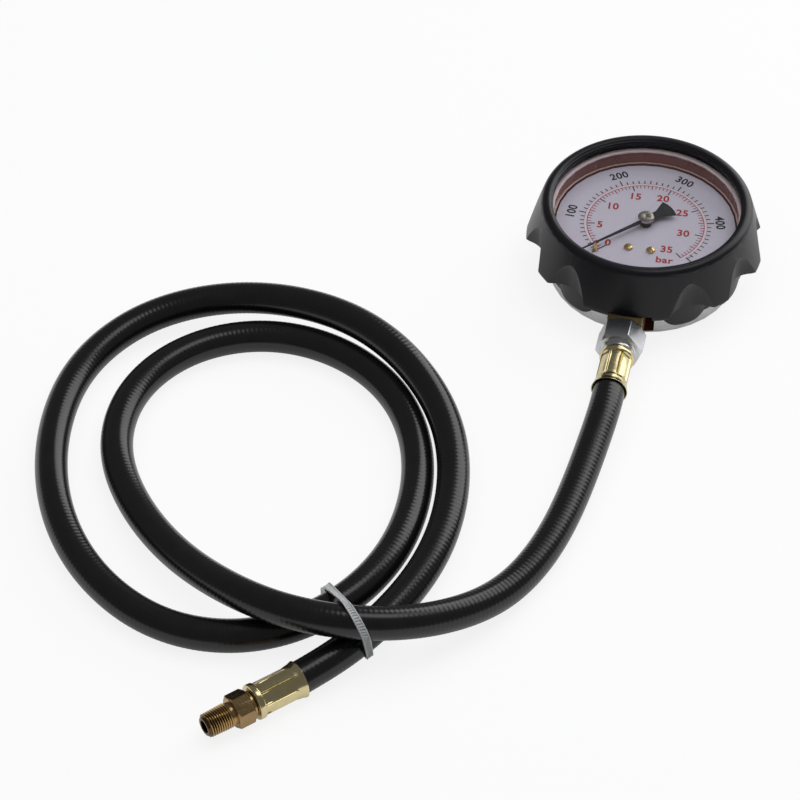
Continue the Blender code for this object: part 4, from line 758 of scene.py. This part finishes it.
def make_hose(carried):
    points = [Vector(point) for point in HOSE_ROUTE]
    length = sum((b - a).length for a, b in zip(points, points[1:]))
    line = natural_spline(points, round(length / RIB_PITCH) * RIB_STEPS)
    loops = []
    travelled = 0.0
    up = Vector((0, 0, 1))
    for i, point in enumerate(line):
        before, after = line[max(i - 1, 0)], line[min(i + 1, len(line) - 1)]
        heading = (after - before).normalized()
        up = (up - heading * up.dot(heading)).normalized()
        side = heading.cross(up)
        if i:
            travelled += (point - line[i - 1]).length
        loop = []
        for angle in even_angles(HOSE_SIDES):
            rib = RIB_HEIGHT * math.cos(math.tau * travelled / RIB_PITCH - angle)
            out = up * math.cos(angle) + side * math.sin(angle)
            loop.append(point + out * (HOSE_RADIUS + rib))
        loops.append(loop)
    hose = add_surface("hose_surface", skinned(loops), "hose", 60, "hose")


# Boot, with the source's sizes and more steps, so that the scallops read crisp and smooth

LIP_OPENING = 0.0384
RIM_RADIUS = 0.0435
RIM_HEIGHT = 0.0348
LIP_UNDERSIDE = 0.0349
LIP_CROWN = 0.0371
SCALLOP_TOP = 0.0302
LOBE_HEIGHT = 0.0161
LOBE_RADIUS = 0.0491
SCALLOP_FLOOR = 0.0429
SLEEVE_RADIUS = 0.0420
SLEEVE_INSIDE = 0.0398
SLEEVE_BOTTOM = 0.0093
TONGUE_DROP = 0.0040
RING_BOTTOM = 0.0279
RING_RECESS = 0.0418
SCALLOP_COUNT = 10          # one fewer than would go round, to leave room for the socket
SCALLOP_PITCH = math.radians(360 / (SCALLOP_COUNT + 1))
SCALLOP_HALF = math.radians(12.2)
SOCKET_SLOT = ((-0.0075, -SOCKET_FACE, -0.001), (0.0107, -0.0282, 0.0178))
LOBE_STEPS = 10
SCALLOP_STEPS = 24
# The lip has a low step at its opening, then a crown that rolls over into the flank. Each
# pair is a share of the way out and a share of the way up.
LIP = ((0.0, 0.25), (0.015, 0.50), (0.05, 0.60), (0.12, 0.63), (0.16, 0.72), (0.20, 0.88),
       (0.27, 0.965), (0.36, 1.0), (0.48, 1.0), (0.60, 0.95), (0.72, 0.83), (0.82, 0.66),
       (0.90, 0.45), (0.96, 0.21))
# Rows of the flank and the sleeve, as shares of the way down
FLANK_ROWS = (0, 0.004, 0.015, 0.035, 0.07, 0.12, 0.19, 0.28, 0.38, 0.49, 0.61, 0.73, 0.84, 0.93)
SLEEVE_ROWS = (0.0, 0.12, 0.3, 0.5, 0.7, 0.86, 0.96)
# Rows of the lobes' rounded lower edge: the share of the way down and how far in they are
LOBE_EDGE_ROWS = ((0.965, 0.00008), (0.985, 0.00028), (1.0, 0.0007))
FLANK_SLOPE = (LOBE_RADIUS - RIM_RADIUS) / (RIM_HEIGHT - LOBE_HEIGHT)
MERGE_REACH = 0.000004      # corners of the boot's mesh that are nearer than this become one


def boot_row(point_at, half_angle=SCALLOP_HALF):
    """One loop of the boot, with the radius and the height that point_at gives.

    point_at takes a place across a scallop, from -1 to 1, or None on a lobe.
    """
    points = []
    before = -math.pi / 2 - SCALLOP_PITCH + half_angle
    for k in range(1, SCALLOP_COUNT + 1):
        centre = -math.pi / 2 + SCALLOP_PITCH * k
        steps = LOBE_STEPS if k > 1 else 4 * LOBE_STEPS
        width = centre - half_angle - before
        row = [(before + width * (i + 1) / (steps + 1), None) for i in range(steps)]
        for i in range(SCALLOP_STEPS + 1):
            across = 2 * i / SCALLOP_STEPS - 1
            row.append((centre + half_angle * across, across))
        before = centre + half_angle
        for angle, across in row:
            radius, height = point_at(across)
            points.append((radius * math.cos(angle), radius * math.sin(angle), height))
    return points


def hollow(across):
    """How deep a scallop is at a place across it, from 0 at its sides to 1 in its middle."""
    return 0 if across is None else 1 - abs(across) ** 3


def boot_ring(radius, height, half_angle=SCALLOP_HALF):
    return boot_row(lambda across: (radius, height), half_angle)


def boot_flank(share, inset=0.0):
    """A row of the flank, which widens down to the lobes while the scallops cut into it."""
    height = SCALLOP_TOP - (SCALLOP_TOP - LOBE_HEIGHT) * share
    cone = RIM_RADIUS + FLANK_SLOPE * (RIM_HEIGHT - height) - inset
    depth = (LOBE_RADIUS - SCALLOP_FLOOR) * share ** 0.7
    half_angle = SCALLOP_HALF * math.sqrt(max(share, 0.004))
    return boot_row(lambda across: (min(cone, cone + inset - depth * hollow(across)), height),
                    half_angle)


def sleeve_end(across):
    """Height of the sleeve's lower edge, which drops in a tongue under each scallop."""
    return SLEEVE_BOTTOM - TONGUE_DROP * hollow(across)


def boot_sleeve(share, inset=0.0):
    """A row of the sleeve below the lobes. The tongues run on from the scallops' floors."""
    def point_at(across):
        swell = (SCALLOP_FLOOR - SLEEVE_RADIUS) * (1 - share ** 1.5) * hollow(across) ** 0.5
        height = LOBE_HEIGHT + (sleeve_end(across) - LOBE_HEIGHT) * share
        return SLEEVE_RADIUS + swell - inset, height
    return boot_row(point_at)


def make_boot():
    width, lift = RIM_RADIUS - LIP_OPENING, LIP_CROWN - LIP_UNDERSIDE
    step = 0.0006
    loops = [boot_ring(LIP_OPENING + width * out, LIP_UNDERSIDE + lift * up) for out, up in LIP]
    loops += [boot_ring(RIM_RADIUS - 0.00002, RIM_HEIGHT, SCALLOP_HALF * 0.3),
              boot_ring(RIM_RADIUS + FLANK_SLOPE * step, RIM_HEIGHT - step, SCALLOP_HALF * 0.15)]
    loops += [boot_flank(share) for share in FLANK_ROWS]
    loops += [boot_flank(share, inset) for share, inset in LOBE_EDGE_ROWS]
    loops += [boot_sleeve(share) for share in SLEEVE_ROWS]
    loops += [boot_sleeve(1.0, 0.0003),
              boot_row(lambda across: (SLEEVE_INSIDE, sleeve_end(across))),
              boot_ring(SLEEVE_INSIDE, RING_BOTTOM), boot_ring(RING_RECESS, RING_BOTTOM),
              boot_ring(RING_RECESS, LIP_UNDERSIDE), boot_ring(LIP_OPENING, LIP_UNDERSIDE)]
    bm = skinned(loops, ring=True)
    bmesh.ops.remove_doubles(bm, verts=bm.verts, dist=MERGE_REACH)
    boot = add_surface("boot_surface", bm, "boot", 34, "rubber_boot")
    low, high = (Vector(corner) for corner in SOCKET_SLOT)
    cut_with(boot, Matrix.Translation((low + high) / 2) @ Matrix.Diagonal((*(high - low), 1.0)))


# Pointer hub and dial screws

AXIS = 0.00001              # radius of the loops that close a turned piece
HUB_SIDES = 48
SCREW_SIDES = 32
SCREW_SHANK = 0.0008
SCREW_HEAD = 0.0010
SCREW_SLOT = (0.006, 0.0006, 0.0010)
SCREW_TURNS = {"left": 0.5, "right": -0.9}


def make_hub():
    low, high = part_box("pointer_hub")
    radius, bottom, top = high[0], low[2], high[2]
    bore, bore_end = 0.0013, bottom + 0.0008
    profile = ((AXIS, top - 0.00022), (0.00022, top - 0.0002), (0.0004, top - 0.00003),
               (0.00052, top), (radius - 0.0007, top), (radius - 0.00035, top - 0.00006),
               (radius - 0.00008, top - 0.0003), (radius, top - 0.0006), (radius, bottom + 0.0001),
               (radius - 0.0001, bottom), (bore, bottom), (bore, bore_end), (AXIS, bore_end))
    add_surface("hub_cap", skinned(lathe_rows(even_angles(HUB_SIDES), profile)), "silver", 30,
                "pointer_hub", body="needle")


def make_dial_screw(side):
    """A domed brass head with a slot, over the node's shank."""
    node = "dial_screw_" + side
    low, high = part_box(node)
    centre = Vector(((low[0] + high[0]) / 2, (low[1] + high[1]) / 2))
    radius, bottom, top = (high[0] - low[0]) / 2, low[2], high[2]
    seat = top - SCREW_HEAD
    profile = ((AXIS, bottom), (SCREW_SHANK, bottom), (SCREW_SHANK, seat), (radius, seat),
               (radius, seat + 0.00035), (radius * 0.94, seat + 0.00058),
               (radius * 0.8, seat + 0.00078), (radius * 0.55, top - 0.00008),
               (radius * 0.28, top - 0.00001), (AXIS, top))
    screw = add_surface(node + "_head", skinned(lathe_rows(even_angles(SCREW_SIDES), profile)),
                        "brass", 30, node, matrix=Matrix.Translation((*centre, 0)))
    slot = Matrix.Rotation(SCREW_TURNS[side], 4, "Z") @ Matrix.Diagonal((*SCREW_SLOT, 1.0))
    cut_with(screw, Matrix.Translation((*centre, top)) @ slot)


# Dial print, drawn flat with 12 o'clock along +Y and turned as the real print is

DIAL_TURN = math.radians(3.0)
DIAL_TOP = max(v.co.z for v in NODES["dial_plate"].data.vertices)
PRINT_LIFT = 0.00004
ZERO = -136.0               # degrees from 12 o'clock, clockwise positive
TOP_BAR, TOP_PSI = 35, 500
PSI_PER_BAR = 14.5038
SPAN_BAR = 273.5            # degrees from zero to the last mark
SPAN_PSI = TOP_PSI * SPAN_BAR / TOP_BAR / PSI_PER_BAR
PSI_LINE = 0.02535
BAR_LINE = 0.02415
# Every so many ticks: the outer or inner radius and the width
PSI_TICKS = ((10, 0.0283, 0.00050), (5, 0.0274, 0.00042), (1, 0.0270, 0.00044))
BAR_TICKS = ((10, 0.0209, 0.00046), (5, 0.0219, 0.00040), (1, 0.0225, 0.00034))
# Value, degrees and radius
PSI_FIGURES = ((100, -84, 0.0311), (200, -26.5, 0.0316), (300, 24.5, 0.0318), (400, 79, 0.0306))
BAR_FIGURES = ((0, -134, 0.0195), (5, -99.5, 0.0188), (10, -58.5, 0.0172), (15, -20, 0.0176),
               (20, 18, 0.0178), (25, 57, 0.0170), (30, 101, 0.0161), (35, 144, 0.0172))
FIGURE_SIZE = 0.0052
FIGURE_STRETCH = 0.95
UNIT_SIZE = 0.0050
UNIT_PLACE = Vector((0.0098, -0.0205))
PSI_BOLD, BAR_BOLD, UNIT_BOLD = 0.00013, 0.00014, 0.00013


def clock(degrees, radius):
    """A point on the print at a clockwise angle from 12 o'clock."""
    turn = math.radians(degrees)
    return Vector((radius * math.sin(turn), radius * math.cos(turn)))


def add_tick(bm, degrees, inner, outer, width):
    turn = math.radians(degrees)
    side = Vector((math.cos(turn), -math.sin(turn))) * width / 2
    near, far = clock(degrees, inner), clock(degrees, outer)
    corners = (near - side, near + side, far + side, far - side)
    bm.faces.new([bm.verts.new((*corner, 0)) for corner in corners])


def add_arc(bm, start, end, inner, outer, step=1.5):
    count = max(2, round((end - start) / step))
    rows = []
    for i in range(count + 1):
        degrees = start + (end - start) * i / count
        rows.append([bm.verts.new((*clock(degrees, r), 0)) for r in (inner, outer)])
    for a, b in zip(rows, rows[1:]):
        bm.faces.new((a[0], b[0], b[1], a[1]))


def add_text(bm, body, centre, size, bold, turn=0.0, stretch=1.0):
    curve = bpy.data.curves.new("figure", "FONT")
    curve.body = body
    curve.size = size
    curve.align_x = "CENTER"
    curve.align_y = "CENTER"
    curve.offset = bold
    curve.space_character = 1.08
    thing = bpy.data.objects.new("figure", curve)
    bpy.context.collection.objects.link(thing)
    mesh = evaluated_mesh(thing)
    mesh.transform(Matrix.Translation((*centre, 0))
                   @ Matrix.Rotation(math.radians(-turn), 4, "Z")
                   @ Matrix.Diagonal((stretch, 1, 1, 1)))
    bm.from_mesh(mesh)
    bpy.data.objects.remove(thing)
    bpy.data.curves.remove(curve)
    bpy.data.meshes.remove(mesh)


def add_psi_scale(bm):
    for k in range(51):
        outer, width = next(rest for every, *rest in PSI_TICKS if k % every == 0)
        add_tick(bm, ZERO + SPAN_PSI * k / 50, PSI_LINE, outer, width)
    psi_end = ZERO + SPAN_PSI
    add_arc(bm, psi_end - 6, psi_end, PSI_LINE + 0.0007, PSI_LINE + 0.00095)
    add_tick(bm, ZERO, 0.0212, 0.0262, 0.0005)
    for value, degrees, radius in PSI_FIGURES:
        add_text(bm, str(value), clock(degrees, radius), FIGURE_SIZE, PSI_BOLD, degrees,
                 FIGURE_STRETCH)


def add_bar_scale(black, red):
    """The inner scale. Its main ticks are black, as on the real print."""
    for k in range(71):
        inner, width = next(rest for every, *rest in BAR_TICKS if k % every == 0)
        add_tick(red if k % 10 else black, ZERO + SPAN_BAR * k / 70, inner, BAR_LINE, width)
    add_arc(red, ZERO, ZERO + SPAN_BAR, BAR_LINE - 0.00016, BAR_LINE + 0.00012)
    for value, degrees, radius in BAR_FIGURES:
        add_text(red, str(value), clock(degrees, radius), FIGURE_SIZE, BAR_BOLD,
                 stretch=FIGURE_STRETCH)
    add_text(red, "bar", UNIT_PLACE, UNIT_SIZE, UNIT_BOLD)


def place_print(name, bm, look, lift):
    place = Matrix.Translation((0, 0, DIAL_TOP + lift)) @ Matrix.Rotation(DIAL_TURN, 4, "Z")
    bmesh.ops.transform(bm, verts=bm.verts, matrix=place)
    for face in bm.faces:
        if face.normal.z < 0:
            face.normal_flip()
    add_piece(name, bm, look)


def make_print():
    black, red, pink, pale = (bmesh.new() for _ in range(4))
    add_psi_scale(black)
    add_bar_scale(black, red)
    add_arc(pink, ZERO, ZERO + SPAN_PSI, PSI_LINE - 0.00012, PSI_LINE + 0.00012)
    add_arc(pale, ZERO, ZERO + SPAN_BAR, BAR_LINE, PSI_LINE)
    place_print("dial_marks_black", black, "ink_black", PRINT_LIFT * 2)
    place_print("dial_marks_red", red, "ink_red", PRINT_LIFT * 1.5)
    place_print("dial_line", pink, "ink_pink", PRINT_LIFT)
    place_print("dial_band", pale, "ink_pale", PRINT_LIFT / 2)


# Floor, light and camera

FLOOR_REACH = 6.0
FLOOR_HEIGHT = -0.0003
FLOOR_IN_VIEW = 0.85        # how much of what the camera sees of the floor is its own glow
FLOOR_IN_GLOSS = 0.27       # and how much of what the part mirrors of it
WORLD_LEVEL = 0.15
CAMERA_PLACE = Vector((0.11024, -0.98004, 0.90653))
CAMERA_AIM = Vector((-0.0822, -0.0974, 0))
LENS_MM = 144
SENSOR_MM = 36


def make_floor():
    bm = bmesh.new()
    bmesh.ops.create_grid(bm, x_segments=1, y_segments=1, size=FLOOR_REACH)
    floor = new_object("floor", bm)
    floor.location = (0, 0, FLOOR_HEIGHT)
    material = bpy.data.materials.new("floor_look")
    material.use_nodes = True
    tree = material.node_tree
    tree.nodes.clear()
    ray = add_node(tree, "ShaderNodeLightPath").outputs
    seen = calculate(tree, "MAXIMUM", ray["Is Camera Ray"], ray["Is Transmission Ray"])
    in_view = calculate(tree, "MULTIPLY", seen, FLOOR_IN_VIEW)
    in_gloss = calculate(tree, "MULTIPLY", ray["Is Glossy Ray"], FLOOR_IN_GLOSS)
    diffuse = add_node(tree, "ShaderNodeBsdfDiffuse", {"Color": (0.86, 0.86, 0.87, 1)})
    glow = add_node(tree, "ShaderNodeEmission", {"Color": (1, 1, 1, 1)})
    share = calculate(tree, "MAXIMUM", in_view, in_gloss)
    mix = add_node(tree, "ShaderNodeMixShader", {"Fac": share, 1: diffuse.outputs[0],
                                                 2: glow.outputs[0]})
    add_node(tree, "ShaderNodeOutputMaterial", {"Surface": mix.outputs[0]})
    floor.data.materials.append(material)


def make_world():
    """White where the camera sees it, and dimmer as a light."""
    world = bpy.data.worlds.new("studio")
    bpy.context.scene.world = world
    world.use_nodes = True
    tree = world.node_tree
    background = tree.nodes["Background"]
    background.inputs["Color"].default_value = (1, 1, 1, 1)
    ray = add_node(tree, "ShaderNodeLightPath").outputs
    level = add_node(tree, "ShaderNodeMapRange", {"Value": ray["Is Camera Ray"],
                                                  "To Min": WORLD_LEVEL, "To Max": 1.0})
    tree.links.new(level.outputs["Result"], background.inputs["Strength"])


def aim(thing, place, target):
    thing.location = place
    direction = Vector(target) - Vector(place)
    thing.rotation_euler = direction.to_track_quat("-Z", "Y").to_euler()
    bpy.context.collection.objects.link(thing)


def add_light(name, place, target, size, radiance, mirrored=True):
    """A soft box. Its power follows from its size and how bright its face is.

    A fill that isn't mirrored lights the surfaces and leaves no shine on them.
    """
    data = bpy.data.lights.new(name, "AREA")
    data.shape = "RECTANGLE"
    data.size, data.size_y = size
    data.energy = radiance * math.pi * size[0] * size[1]
    light = bpy.data.objects.new(name, data)
    light.visible_glossy = mirrored
    aim(light, place, target)


def make_camera():
    data = bpy.data.cameras.new("camera")
    data.lens = LENS_MM
    data.sensor_width = SENSOR_MM
    data.clip_end = 30
    camera = bpy.data.objects.new("camera", data)
    aim(camera, CAMERA_PLACE, CAMERA_AIM)
    bpy.context.scene.camera = camera


paint_nodes()
make_nut()
make_ferrule("near_ferrule_surface", (0, -FERRULE_START, STEM_HEIGHT), NEAR_TURN, "near_ferrule")
far_ferrule = make_ferrule("far_ferrule_surface", FAR_MOUTH + FAR_DIRECTION * FERRULE_LENGTH,
                           (math.pi / 2, 0, FAR_HEADING - math.pi / 2), "far_ferrule")
make_hose([far_ferrule, make_far_fitting(), make_tie()])
make_boot()
make_hub()
make_dial_screw("left")
make_dial_screw("right")
make_print()
make_floor()
make_world()
add_light("overhead_fill", (-0.10, -0.10, 1.30), (-0.10, -0.12, 0), (1.6, 1.6), 1.6, mirrored=False)
add_light("overhead", (0.30, 0.10, 1.20), (-0.05, -0.12, 0), (0.5, 0.7), 2.0)
add_light("right_back", (0.62, 0.98, 0.60), (-0.08, -0.1, 0), (1.25, 1.2), 2.2)
make_camera()
bpy.context.scene.view_settings.view_transform = "Standard"
